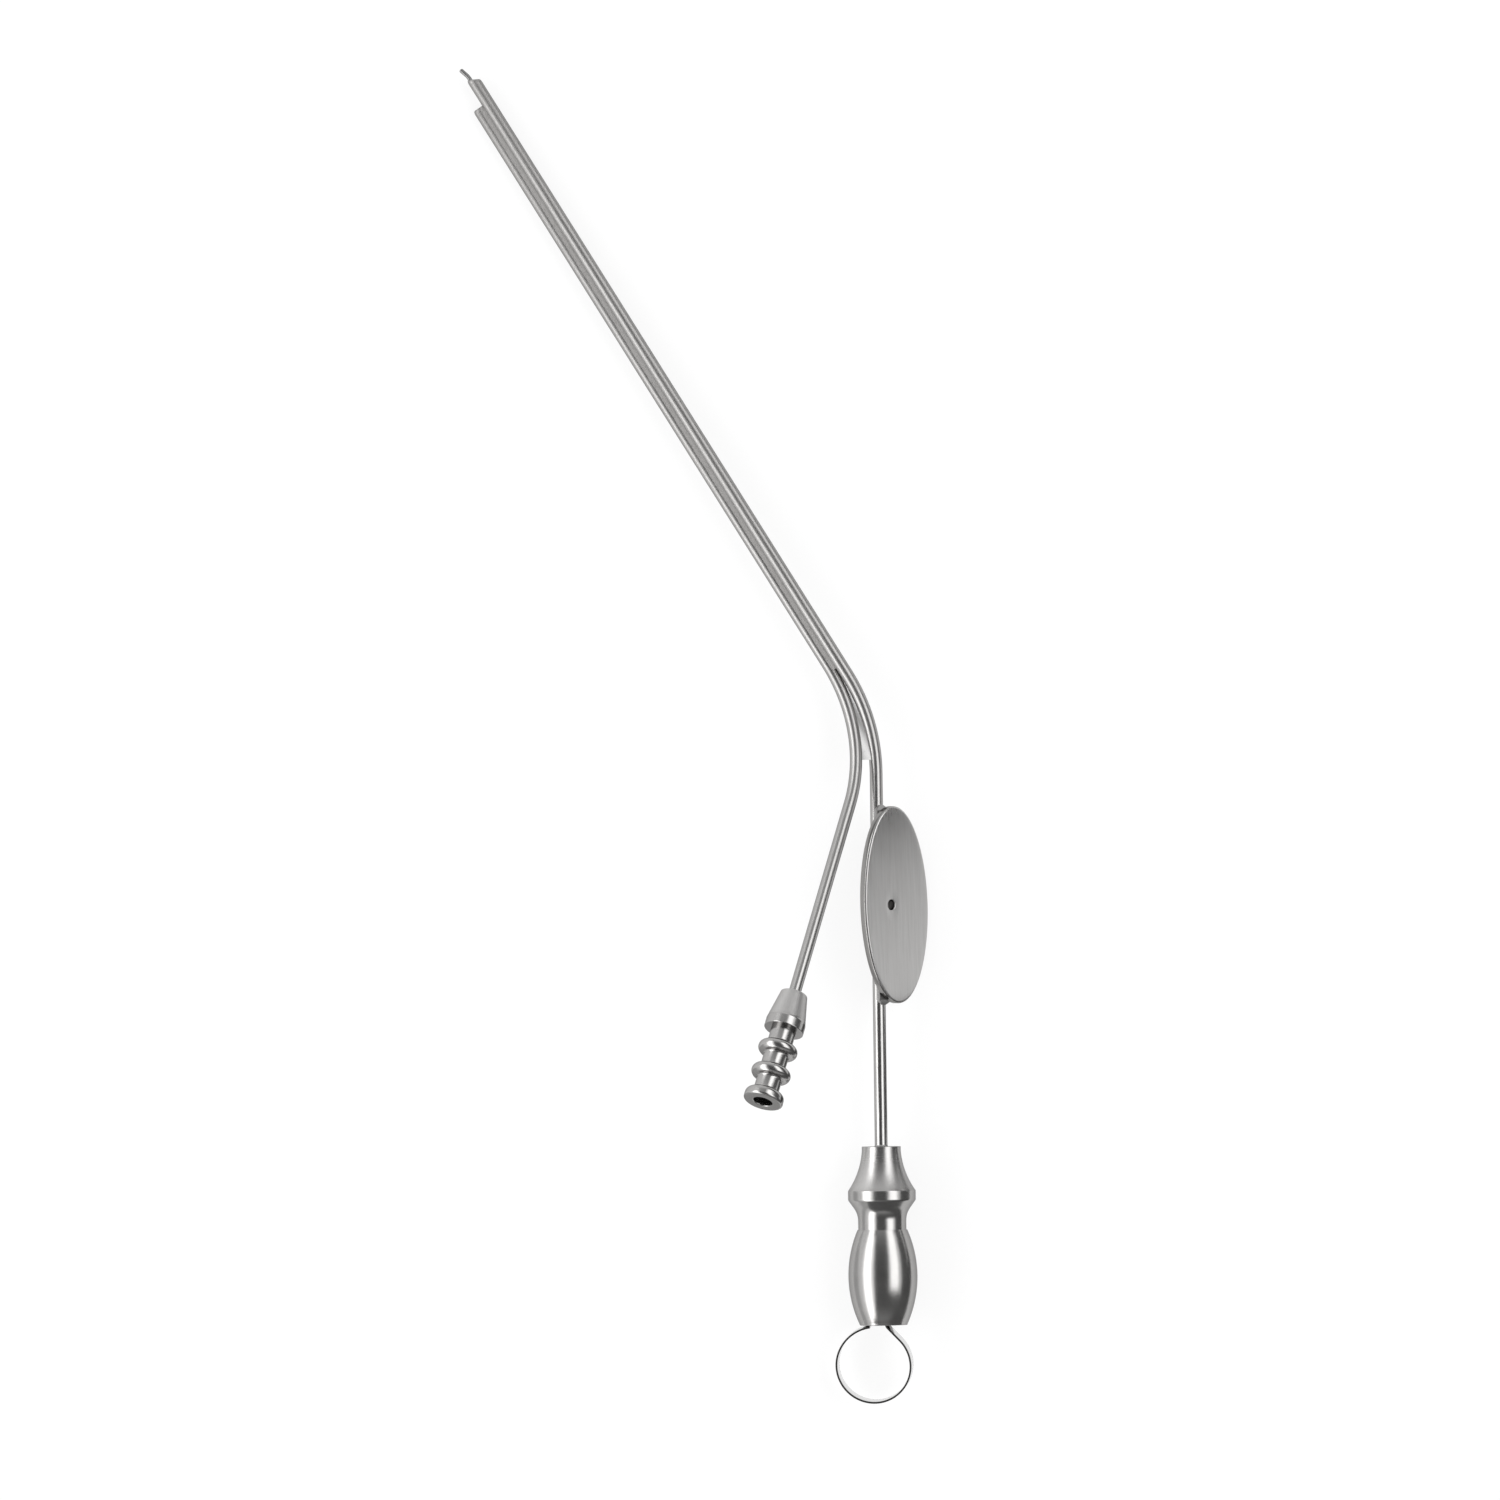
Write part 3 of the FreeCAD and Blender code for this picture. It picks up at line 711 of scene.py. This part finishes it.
def strip_finish():
    """Bright rolled strip: polished faces, and a near-black band along its top edge that is painted shade,
    rougher there too.
    """
    finish, marks, clouds, height = spring_steel("stylet_strip_steel")
    share = finish.part_of_grain("Y") * (0.5 / STRIP_WIDTH) + 0.5
    # Near black along the strip's top edge: painted shade; the edge is also rougher
    cut = finish.ramp(share, ((0.04, 1.0), (0.25, 0.0), (0.71, 0.0), (0.74, 1.0)))
    bright = finish.mix(clouds, grey(0.72, WIRE_WARMTH), grey(0.82, WIRE_WARMTH))
    colour = finish.mix(cut, bright, finish.mix(marks, grey(0.05, WIRE_WARMTH), grey(0.12, WIRE_WARMTH)))
    roughness = 0.05 + marks * 0.06 + clouds * 0.04 + cut * 0.20
    return finish.metal(colour, roughness, height, 0.010, edge_tint=0.9)


SUCTION_STEEL = drawn_tube_finish("suction_tube_steel",
                                  ((30.0, 0.0), (62.0, 0.38), (80.0, 0.62), (135.0, 0.69), (172.0, 1.0)))
IRRIGATION_STEEL = drawn_tube_finish("irrigation_tube_steel",
                                     ((0.0, 1.0), (35.0, 0.69), (60.0, 0.62), (95.0, 0.41), (131.0, 0.21)))
HANDLE_STEEL = turned_finish("handle_steel", ((17.3, 0.0), (17.9, 0.9), (20.0, 0.6), (22.4, 0.2)))
HOSE_END_STEEL = turned_finish("hose_end_steel", ((3.6, 1.0), (4.1, 0.0)))
SATIN_PLATE = satin_plate_finish()
# The seam's solder is the same silver solder in a darker grey: painted shade in the grooves between the
# tubes
SHADED_SEAM_SOLDER = solder_finish("seam_silver_solder_painted_shade", 0.17, 0.25, 0.8)
SOLDER = solder_finish("silver_solder", 0.36, 0.46, 0.8)
# The web's solder is the same silver solder in a paler grey: painted light
LIT_WEB_SOLDER = solder_finish("smooth_silver_solder_painted_light", 0.56, 0.66, 0.15)
WIRE_STEEL = wire_finish()
STRIP_STEEL = strip_finish()
SWEEP = sweep_tree()


# Tubes
def roll_in(mesh, tip, direction, normal, radius):
    """Roll the last stretch of an open tube inwards, round and blunt."""
    for vertex in mesh.vertices:
        short = (tip - vertex.co).dot(normal) / direction.dot(normal)
        if short < ROLL_LENGTH:
            share = min(1.0, 1 - short / ROLL_LENGTH)
            inset = ROLL_DEPTH * (1 - math.sqrt(1 - share ** 2))
            offset = vertex.co - tip
            outward = offset - direction * offset.dot(direction)
            vertex.co -= outward * (inset / radius)


def near_tip(tip, direction):
    """Close places over the last stretch of a tube."""
    count = 9
    return [tip - direction * (ROLL_LENGTH * (1 - number / count)) for number in range(count + 1)]


def slant_tip(mesh, tip, direction, normal):
    """Slide the last stretch along the tube until its end lies in a slanting plane."""
    for vertex in mesh.vertices:
        along = (vertex.co - tip).dot(direction)
        if along > -SLANT_LENGTH:
            aside = vertex.co - tip - direction * along
            reach = -aside.dot(normal) / direction.dot(normal)
            vertex.co += direction * reach * (1 + along / SLANT_LENGTH)


def vented(mesh):
    """Drill the vent through the tube's wall, square to the plate."""
    helper = placed("vented", mesh)
    drill = bmesh.new()
    bmesh.ops.create_cone(drill, cap_ends=True, segments=40, radius1=VENT_IN_TUBE, radius2=VENT_IN_TUBE,
                          depth=2.0)
    drill_mesh = bpy.data.meshes.new("drill")
    drill.to_mesh(drill_mesh)
    drill.free()
    place = vent_centre + plate_normal * 1.0
    turn = plate_normal.to_track_quat("Z", "Y").to_matrix().to_4x4()
    drill_mesh.transform(Matrix.Translation(place) @ turn)
    cutter = placed("drill", drill_mesh)
    hole = helper.modifiers.new("vent", "BOOLEAN")
    hole.operation = "DIFFERENCE"
    hole.solver = "EXACT"
    hole.object = cutter
    mesh = plain_mesh(helper)
    bpy.data.objects.remove(helper)
    bpy.data.objects.remove(cutter)
    return mesh


def suction_tube():
    last = near_tip(suction_tip, shaft_direction)
    path = route([tube_seat, bend_corner, suction_tip], [BEND_RADIUS])
    path = [point for point in path if (point - last[0]).dot(shaft_direction) < -0.1] + last
    mesh = swept("suction_tube", path, circle(SUCTION_RADIUS, TUBE_SIDES), SUCTION_STEEL)
    slant = turned(shaft_direction, bend_normal, -TIP_ANGLE)
    slant_tip(mesh, suction_tip, shaft_direction, slant)
    roll_in(mesh, suction_tip, shaft_direction, slant, SUCTION_RADIUS)
    mesh = vented(solidified(mesh, SUCTION_WALL))
    piece("suction_tube_drawn", mesh, "suction_tube", SUCTION_STEEL)


def irrigation_tube():
    end = branch_end + branch_direction * SOCKET_DEPTH
    path = route([irrigation_tip, branch_corner, end], [BRANCH_RADIUS])
    last = near_tip(irrigation_tip, shaft_direction)
    path = last[::-1] + [point for point in path if (point - last[0]).dot(shaft_direction) < -0.1]
    mesh = swept("irrigation_tube", path, circle(IRRIGATION_RADIUS, TUBE_SIDES), IRRIGATION_STEEL)
    roll_in(mesh, irrigation_tip, shaft_direction, shaft_direction, IRRIGATION_RADIUS)
    mesh = solidified(mesh, IRRIGATION_WALL)
    piece("irrigation_tube_drawn", mesh, "irrigation_tube", IRRIGATION_STEEL)


# Solder
def on_tube(centre, outward, upward, radius, degrees):
    """A place on a tube, at an angle up from its outward side."""
    angle = math.radians(degrees)
    return centre + (outward * math.cos(angle) + upward * math.sin(angle)) * radius


def seam_solder():
    """Solder in both grooves between the tubes, a little uneven along its length."""
    upward = shaft_direction.cross(to_irrigation).normalized()
    start = irrigation_tip - to_irrigation * pair_distance
    reach = BRANCH_RADIUS * math.tan((math.pi - shaft_direction.angle(branch_direction)) / 2)
    length = (irrigation_tip - branch_corner).length - reach + SEAM_PAST_BEND
    count = 220
    rows, grain = [], []
    for number in range(count + 1):
        down = length * number / count
        fade = min(1.0, (down + 0.05) / 0.6)
        row = []
        for side in (1, -1):
            uneven = wave((down, side * 3.0, 0), 1.8, side) + 0.5 * wave((down, side * 3.0, 0), 0.6, side)
            angle = side * (SEAM_ANGLE + 5.0 * uneven) * (0.55 + 0.45 * fade)
            edges = [on_tube(start, to_irrigation, upward, SUCTION_RADIUS - SEAM_SINK, angle),
                     on_tube(irrigation_tip, -to_irrigation, upward, IRRIGATION_RADIUS - SEAM_SINK, angle)]
            first, last = edges[::side]
            for t in (share / 8 for share in range(9)):
                hollow = 4 * t * (1 - t)
                row.append(first.lerp(last, t) - upward * SEAM_SAG * hollow * side)
        offset = shaft_direction * -down
        rows.append([point + offset for point in row])
        grain.append([((point - start).dot(to_irrigation), (point - start).dot(upward), down)
                      for point in row])
    mesh = grid_mesh("seam_solder", rows, grain, capped=True)
    piece("seam_solder_run", mesh, "seam_solder", SHADED_SEAM_SOLDER)


def at_place(line, y):
    """Where a path crosses a given distance from the hose end."""
    for first, second in zip(line, line[1:]):
        if min(first.y, second.y) <= y <= max(first.y, second.y) and first.y != second.y:
            return first.lerp(second, (y - first.y) / (second.y - first.y))
    return line[-1]


def fork_web():
    """The web of solder between the tubes where they part, thinnest at its narrow end."""
    suction = route([tube_seat, bend_corner, suction_tip], [BEND_RADIUS], step=1.0)
    irrigation = route([irrigation_tip, branch_corner, branch_end], [BRANCH_RADIUS], step=1.0)
    low = HANDLE_LENGTH + WEB_END
    high = HANDLE_LENGTH + WEB_START
    count = 60
    rows, grain = [], []
    for number in range(count + 1):
        y = low + (high - low) * number / count
        first = at_place(suction, y)
        second = at_place(irrigation, y)
        across = (second - first).normalized()
        normal = across.cross(Y_AXIS).normalized()
        start = first + across * (SUCTION_RADIUS - WEB_SINK)
        end = second - across * (IRRIGATION_RADIUS - WEB_SINK)
        width = max(0.02, (end - start).length)
        top, bottom = [], []
        for share in range(13):
            t = share / 12
            middle = start.lerp(end, t)
            from_wall = min(t, 1 - t) * width
            fillet = WEB_FILLET * min(1.0, width / 1.2) * math.exp(-from_wall / WEB_FILLET_REACH)
            lump = 0.010 * wave(middle, 0.9, 4.0)
            full = min(1.0, max(0.0, (high - y) / WEB_TAPER))
            half = WEB_THIN_HALF + (WEB_THICKNESS / 2 - WEB_THIN_HALF + fillet + lump) * full
            top.append(middle + normal * half)
            bottom.append(middle - normal * half)
        rows.append(top + bottom[::-1])
        grain.append([(point.x - first.x, point.z - first.z, y) for point in rows[-1]])
    mesh = grid_mesh("fork_web", rows, grain, capped=True)
    piece("fork_web_solder", mesh, "fork_web", LIT_WEB_SOLDER)


def plate_solder():
    """The bed of solder between tube and plate, drawn out past the plate's edge at both ends."""
    share = PLATE_SHIFT / (PLATE_WIDTH / 2)
    half_chord = PLATE_LENGTH / 2 * math.sqrt(1 - share ** 2)
    reach_plate = half_chord - BED_INSIDE_EDGE
    reach_tube = half_chord + BED_PAST_EDGE
    count = 120
    rows, grain = [], []
    for number in range(count + 1):
        y = reach_tube * (2 * number / count - 1)
        beyond = max(0.0, abs(y) - reach_plate) / (reach_tube - reach_plate)
        uneven = wave((0, y, 0), 1.6, 6.0)
        height_plate = SUCTION_RADIUS + (plate_back - SUCTION_RADIUS + BED_LAP) * (1 - beyond ** 0.7)
        width_plate = BED_HALF_WIDTH * (1 - 0.75 * beyond) * (1 + 0.05 * uneven)
        angle = math.radians(BED_ANGLE_ON_TUBE + 4 * uneven + 45 * beyond)
        foot = (SUCTION_RADIUS - BED_SINK) * math.cos(angle)
        foot_height = (SUCTION_RADIUS - BED_SINK) * math.sin(angle)
        sides = []
        for side in (1, -1):
            run = []
            for t in (step / 8 for step in range(9)):
                hollow = BED_HOLLOW * 4 * t * (1 - t) * (1 - beyond)
                across = foot + (width_plate - foot) * t - hollow
                run.append((side * across, foot_height + (height_plate - foot_height) * t))
            sides.append(run)
        inner = [(math.cos(math.radians(a)) * (SUCTION_RADIUS - 0.1),
                  math.sin(math.radians(a)) * (SUCTION_RADIUS - 0.1)) for a in range(150, 20, -20)]
        outline = sides[0] + sides[1][::-1] + inner
        rows.append([vent_centre + plate_across * a + plate_normal * h + Y_AXIS * y for a, h in outline])
        grain.append([(a, h, y) for a, h in outline])
    mesh = grid_mesh("plate_solder", rows, grain, capped=True)
    piece("plate_solder_bed", mesh, "plate_solder", SOLDER)


def joint_solder(name, node, centre, away, tube_radius, seed):
    """A hollow fillet of solder round a tube, run out a little unevenly."""
    def outline(angle):
        size = JOINT_FILLET * (0.93 + 0.06 * wave((math.cos(angle), math.sin(angle), seed), 0.6))
        hollow = [(size * (1 - math.cos(a)), tube_radius + size * (1 - math.sin(a)))
                  for a in (math.radians(10 * step) for step in range(10))]
        return [(-JOINT_LAP, tube_radius - JOINT_SINK), (-JOINT_LAP, tube_radius + size), *hollow,
                (size, tube_radius - JOINT_SINK)]

    piece(name, spun_mesh(name, outline, centre, away, 96), node, SOLDER)


# Finger plate
def finger_plate():
    """Oval plate with rolled edges; the vent hole's edge is broken."""
    middle = vent_centre + plate_across * PLATE_SHIFT + plate_normal * (plate_back + PLATE_THICKNESS)
    segments = 192
    rows, grain = [], []

    def ring(blend, inset, depth, hole_grow):
        row, marks = [], []
        for number in range(segments):
            angle = 2 * math.pi * number / segments
            direction = Vector((math.cos(angle), math.sin(angle)))
            outer = Vector((direction.x * PLATE_WIDTH / 2, direction.y * PLATE_LENGTH / 2))
            normal = Vector((direction.x * PLATE_LENGTH, direction.y * PLATE_WIDTH)).normalized()
            outer = outer - normal * inset
            inner = vent_on_plate + direction * (VENT_RADIUS + hole_grow)
            flat = inner.lerp(outer, blend)
            row.append(middle + plate_sideways * flat.x + plate_along * flat.y - plate_normal * depth)
            marks.append((flat.x, flat.y, depth))
        rows.append(row)
        grain.append(marks)

    for step in range(5):
        a = math.radians(90 * step / 4)
        ring(0.0, PLATE_EDGE, VENT_EDGE * (1 - math.sin(a)), VENT_EDGE * (1 - math.cos(a)))
    for step in range(1, 14):
        ring((step / 13) ** 0.8, PLATE_EDGE, 0.0, VENT_EDGE)
    for step in range(1, 9):
        a = math.radians(90 * step / 8)
        ring(1.0, PLATE_EDGE * (1 - math.sin(a)), PLATE_EDGE * (1 - math.cos(a)), 0.0)
    for step in range(9):
        a = math.radians(90 * step / 8)
        ring(1.0, PLATE_BACK_EDGE * (1 - math.cos(a)),
             PLATE_THICKNESS - PLATE_BACK_EDGE * (1 - math.sin(a)), 0.0)
    for step in range(1, 14):
        ring(1 - (step / 13), PLATE_BACK_EDGE, PLATE_THICKNESS, 0.0)
    mesh = grid_mesh("finger_plate", rows, grain, closed_rows=True)
    piece("finger_plate_satin", mesh, "finger_plate", SATIN_PLATE)


# Connectors
def suction_connector():
    """Olive, neck, flange and flare down to the collar that takes the tube."""
    section = Section(*OLIVE_START)
    section.arc(OLIVE_MIDDLE, OLIVE_END, 48)
    section.line(OLIVE_END[0], NECK_END[1], 0.03)
    section.line(*NECK_END, 0.94)
    section.line(*FLANGE_START, 0.14)
    section.line(*FLANGE_END, 0.12)
    section.arc(FLARE_MIDDLE, FLARE_END, 32)
    section.line(HANDLE_LENGTH - 0.12, FLARE_END[1])
    section.line(HANDLE_LENGTH, FLARE_END[1], 0.16)
    section.line(HANDLE_LENGTH, SEAT_RADIUS)
    section.line(SEAT_DEPTH, SEAT_RADIUS)
    section.line(SEAT_DEPTH, SEAT_BORE)
    section.line(HANDLE_BORE_END, HANDLE_BORE, 0.05)
    section.line(0.0, HANDLE_BORE, 0.16)
    section.line(0.0, HANDLE_RIM, 0.14)
    mesh = turned_mesh("suction_connector", section, Vector((0, 0, 0)), Y_AXIS)
    piece("suction_connector_turned", mesh, "suction_connector", HANDLE_STEEL, sharp=35)


def bead_section(section, centre, last):
    """One round bead with small fillets to the neck on both sides."""
    height = BEAD_RADIUS - BEAD_ROUND
    lift = NECK_RADIUS + BEAD_FILLET - height
    reach = math.sqrt((BEAD_ROUND + BEAD_FILLET) ** 2 - lift ** 2)
    share = BEAD_ROUND / (BEAD_ROUND + BEAD_FILLET)
    touch = (reach * share, height + lift * share)
    soft = BEAD_FILLET * math.sqrt(0.5)
    foot = NECK_RADIUS + BEAD_FILLET - soft
    section.line(centre - reach, NECK_RADIUS)
    section.arc((centre - reach + soft, foot), (centre - touch[0], touch[1]), 8)
    if last:
        quarter = BEAD_ROUND * math.sqrt(0.5)
        section.arc((centre - quarter, height + quarter), (centre, BEAD_RADIUS), 16)
        return
    section.arc((centre, BEAD_RADIUS), (centre + touch[0], touch[1]), 32)
    section.arc((centre + reach - soft, foot), (centre + reach, NECK_RADIUS), 8)


def irrigation_connector():
    """Cone, band and a row of beads that hold the hose; the last bead ends in a flat face."""
    section = Section(0.0, SOCKET_RADIUS)
    section.line(*CONE_START, 0.10)
    section.line(*CONE_END, 0.12)
    section.line(BAND_START, BAND_RADIUS, 0.05)
    section.line(BAND_END, BAND_RADIUS, 0.10)
    section.line(BAND_END, NECK_RADIUS)
    for number in range(BEAD_COUNT):
        bead_section(section, BEAD_START + BEAD_SPACING * number, number == BEAD_COUNT - 1)
    section.line(HOSE_END_LENGTH, BEAD_RADIUS, 0.30)
    section.line(HOSE_END_LENGTH, HOSE_END_BORE, 0.16)
    section.line(HOSE_END_BORE_END, HOSE_END_BORE)
    section.line(SOCKET_DEPTH, SOCKET_BORE)
    section.line(SOCKET_DEPTH, SOCKET_RADIUS)
    mesh = turned_mesh("irrigation_connector", section, branch_end, branch_direction)
    piece("irrigation_connector_turned", mesh, "irrigation_connector", HOSE_END_STEEL,
          sharp=35)


# Stylet
def stylet_wire():
    side = SUCTION_RADIUS - SUCTION_WALL - WIRE_RADIUS - WIRE_CLEARANCE
    lip = SUCTION_RADIUS * math.tan(math.radians(TIP_ANGLE))
    reach = lip + WIRE_HOOK_RADIUS * math.tan(math.radians(WIRE_HOOK_ANGLE / 2))
    mouth = suction_tip + beside_shaft * side + shaft_direction * reach
    hook = turned(shaft_direction, bend_normal, WIRE_HOOK_ANGLE)
    end = mouth + hook * (WIRE_OUT - reach)
    start = Y_AXIS * (TAIL_LENGTH - WIRE_OVERLAP)
    path = route([start, bend_corner, mouth, end], [BEND_RADIUS, WIRE_HOOK_RADIUS])
    mesh = swept("stylet_wire", path, circle(WIRE_RADIUS, 32), WIRE_STEEL, closed_ends=True)
    mesh = rounded(placed("wire_helper", mesh), WIRE_END_ROUND)
    piece("stylet_wire_drawn", mesh, "stylet_wire", WIRE_STEEL)


def strip_path():
    """The strip's middle line: its tail in the bore, its slanting run and the loop, all flat."""
    corner = X_AXIS * (WIRE_RADIUS + STRIP_CLEARANCE + STRIP_THICKNESS / 2)
    tail_end = corner + Y_AXIS * TAIL_LENGTH
    away = corner - RING_MIDDLE
    spread_angle = math.degrees(math.acos(RING_RADIUS / away.length))
    outward = turned(away.normalized(), Z_AXIS, -spread_angle)
    touch = RING_MIDDLE + outward * RING_RADIUS
    line = route([tail_end, corner, touch], [TAIL_RADIUS], run=0.4, step=4.0)
    touch_angle = math.degrees(math.atan2(outward.y, outward.x))
    full = 360 + touch_angle - RING_END_ANGLE
    count = 150
    for number in range(1, count + 1):
        angle = full * number / count
        near_end = max(0.0, 1 - (full - angle) / RING_LIFT_ANGLE)
        radius = RING_RADIUS + RING_END_LIFT * near_end ** 2
        line.append(RING_MIDDLE + turned(outward * radius, Z_AXIS, -angle))
    return line


def stylet_ring():
    """A flat strip with rounded edges, bent into a finger ring."""
    path = strip_path()
    half, width = STRIP_THICKNESS / 2, STRIP_WIDTH / 2
    section = []
    for sx, sz, start in ((1, 1, 0), (-1, 1, 90), (-1, -1, 180), (1, -1, 270)):
        for step in range(5):
            a = math.radians(start + 90 * step / 4)
            section.append((sx * (half - STRIP_EDGE) + STRIP_EDGE * math.cos(a),
                            sz * (width - STRIP_EDGE) + STRIP_EDGE * math.sin(a)))
    rows, grain = [], []
    down = 0.0
    for number, point in enumerate(path):
        before = path[max(0, number - 1)]
        after = path[min(len(path) - 1, number + 1)]
        direction = (after - before).normalized()
        outward = direction.cross(Z_AXIS).normalized()
        down += (point - before).length
        rows.append([point + outward * x + Z_AXIS * z for x, z in section])
        grain.append([(x, z, down) for x, z in section])
    mesh = grid_mesh("stylet_ring", rows, grain, capped=True)
    lean = turned(X_AXIS, Z_AXIS, -RING_TILT_SIDE_ANGLE)
    mesh.transform(Matrix.Rotation(math.radians(RING_TILT_ANGLE), 4, lean))
    piece("stylet_ring_strip", mesh, "stylet_ring", STRIP_STEEL)


def stylet_solder():
    """A drop of solder along the wire where it lies on the strip."""
    rows, grain = [], []
    count = 30
    for number in range(count + 1):
        t = number / count
        y = TAIL_LENGTH - WIRE_OVERLAP * (1 - t)
        swell = math.sqrt(max(0.0, 1 - (2 * t - 1) ** 4)) * (1 + 0.06 * wave((0, y, 0), 0.5, 9.0))
        row = []
        for step in range(16):
            a = 2 * math.pi * step / 16
            row.append(Vector((DROP_OFFSET + DROP_HALF_WIDTH * math.cos(a), y,
                               DROP_HALF_HEIGHT * swell * math.sin(a) + 0.001)))
        rows.append(row)
        grain.append([(point.x, point.z, y) for point in row])
    mesh = grid_mesh("stylet_solder", rows, grain, capped=True)
    piece("stylet_solder_drop", mesh, "stylet_solder", SOLDER)


suction_tube()
irrigation_tube()
seam_solder()
fork_web()
plate_solder()
finger_plate()
suction_connector()
irrigation_connector()
joint_solder("suction_joint_fillet", "suction_joint_solder", handle_front, Y_AXIS, SUCTION_RADIUS, 1.0)
joint_solder("irrigation_joint_fillet", "irrigation_joint_solder", branch_end, -branch_direction,
             IRRIGATION_RADIUS, 2.0)
stylet_wire()
stylet_ring()
stylet_solder()


# Table, light and camera
def sheet(name, points, faces, finish):
    """A part of the studio round the instrument."""
    mesh = bpy.data.meshes.new(name)
    mesh.from_pydata(points, [], faces)
    mesh.materials.append(finish)
    made = placed(name, mesh)
    return made


def mirrored_sheet(name, points, faces, painted_reflection, level):
    """A painted reflection: a sheet that shows only in polished metal, as bright as its level."""
    painted_reflection.close(painted_reflection.node("ShaderNodeEmission", {}, {"Color": level, "Strength": 1.0}))
    made = sheet(name, points, faces, painted_reflection.owner)
    made.visible_camera = False
    made.visible_diffuse = False
    made.visible_shadow = False


def table():
    """A wide pale table, clear from below, that shows a soft part of the shadow."""
    surface = new_finish("pale_table")
    pale = surface.node("ShaderNodeBsdfPrincipled", {},
                        {"Base Color": grey(TABLE_ALBEDO), "Roughness": 0.9, "Specular IOR Level": 0.1})
    white = surface.node("ShaderNodeEmission", {}, {"Color": grey(1.0), "Strength": 1.0})
    seen = surface.in_view() * TABLE_GLOW
    lit = surface.node("ShaderNodeMixShader", {}, {0: seen, 1: pale, 2: white})
    clear = surface.node("ShaderNodeBsdfTransparent", {}, {})
    below = surface.node("ShaderNodeNewGeometry", {}, {}, "Backfacing")
    surface.close(surface.node("ShaderNodeMixShader", {}, {0: below, 1: lit, 2: clear}))
    half = TABLE_HALF_WIDTH
    sheet("table", [(-half, -half, 0), (half, -half, 0), (half, half, 0), (-half, half, 0)],
          [(0, 1, 2, 3)], surface.owner)


def softbox(name, low_angle, high_angle, distance, ends, radiance):
    """A long soft light beside the table. Angles are from straight up, towards +X."""
    middle = math.radians((low_angle + high_angle) / 2)
    half = distance * math.tan(math.radians(abs(high_angle - low_angle) / 2))
    light = bpy.data.lights.new(name, "AREA")
    light.shape = "RECTANGLE"
    light.size = 2 * half
    light.size_y = ends[1] - ends[0]
    light.energy = radiance * math.pi * light.size * light.size_y
    made = placed(name, light)
    made.location = (distance * math.sin(middle), sum(ends) / 2, distance * math.cos(middle))
    made.rotation_euler = (0, middle, 0)


def dark_tent():
    """A dark sheet over the table, open to the left, for polished steel to mirror: a painted reflection.

    It is darkest overhead and paler low down at both ends, and gives no light to the table.
    """
    half_width, height, left, right = 1.7, 1.3, -0.69, 1.7
    count = 24
    arch = []
    for number in range(count + 1):
        angle = math.pi * number / count
        arch.append((half_width * math.cos(angle), height * math.sin(angle)))
    points = [(x, y, z) for x in (left, right) for y, z in arch]
    faces = [(number, number + 1, number + count + 2, number + count + 1) for number in range(count)]
    faces.append(tuple(range(count + 1, 2 * count + 2)))

    painted_reflection = new_finish("dark_painted_reflection")
    place = painted_reflection.node("ShaderNodeTexCoord", {}, {}, "Object")
    way = painted_reflection.node("ShaderNodeVectorMath", {"operation": "NORMALIZE"}, {0: place})
    far = painted_reflection.node("ShaderNodeSeparateXYZ", {}, {0: way}, "Y")
    level = painted_reflection.ramp(far * 0.5 + 0.5, ((0.0, 0.60), (0.10, 0.45), (0.22, 0.14), (0.3, 0.12),
                                         (0.68, 0.13), (0.84, 0.34), (0.97, 0.85)))
    mirrored_sheet("dark_tent", points, faces, painted_reflection, level)


def painted_reflection_sheet(name, points, faces, level):
    """One painted reflection sheet, of an even grey."""
    mirrored_sheet(name, points, faces, new_finish(name + "_felt"), grey(level))


def painted_reflection_sheets():
    """Painted reflections: dark sheets, painted shade, that stand and lie to the right of the handle, and
    a paler sheet to its left.
    """
    count = len(STANDING_PAINTED_SHADE)
    painted_reflection_sheet("dark_strip",
         [(x, y, z) for z in (STANDING_PAINTED_SHADE_BOTTOM, STANDING_PAINTED_SHADE_TOP) for x, y in STANDING_PAINTED_SHADE],
         [(number, number + 1, number + count + 1, number + count) for number in range(count - 1)], 0.13)
    for name, outline, level in (("dark_sheet", DARK_PAINTED_SHADE, 0.11), ("pale_sheet", PALE_PAINTED_REFLECTION, 0.62)):
        painted_reflection_sheet(name, [(x, y, PAINTED_SHEET_LIFT) for x, y in outline], [tuple(range(len(outline)))], level)


def room():
    """A white room for the camera and for reflections, dimmer as a light on the table."""
    world = bpy.data.worlds.new("room")
    bpy.context.scene.world = world
    walls = Finish(world)
    strength = walls.in_view() * (1.0 - ROOM_FILL) + ROOM_FILL
    walls.close(walls.node("ShaderNodeBackground", {}, {"Color": grey(1.0), "Strength": strength}))


def camera():
    data = bpy.data.cameras.new("camera")
    data.sensor_width = 36.0
    data.lens = data.sensor_width * CAMERA_PLACE[2] / FRAME_WIDTH
    data.clip_end = 50.0
    made = placed("camera", data)
    made.location = CAMERA_PLACE
    made.rotation_euler = (0, 0, CAMERA_TURN)
    bpy.context.scene.camera = made


table()
room()
for sizes in SOFTBOXES:
    softbox(*sizes)
dark_tent()
painted_reflection_sheets()
camera()
bpy.context.scene.view_settings.view_transform = "Standard"
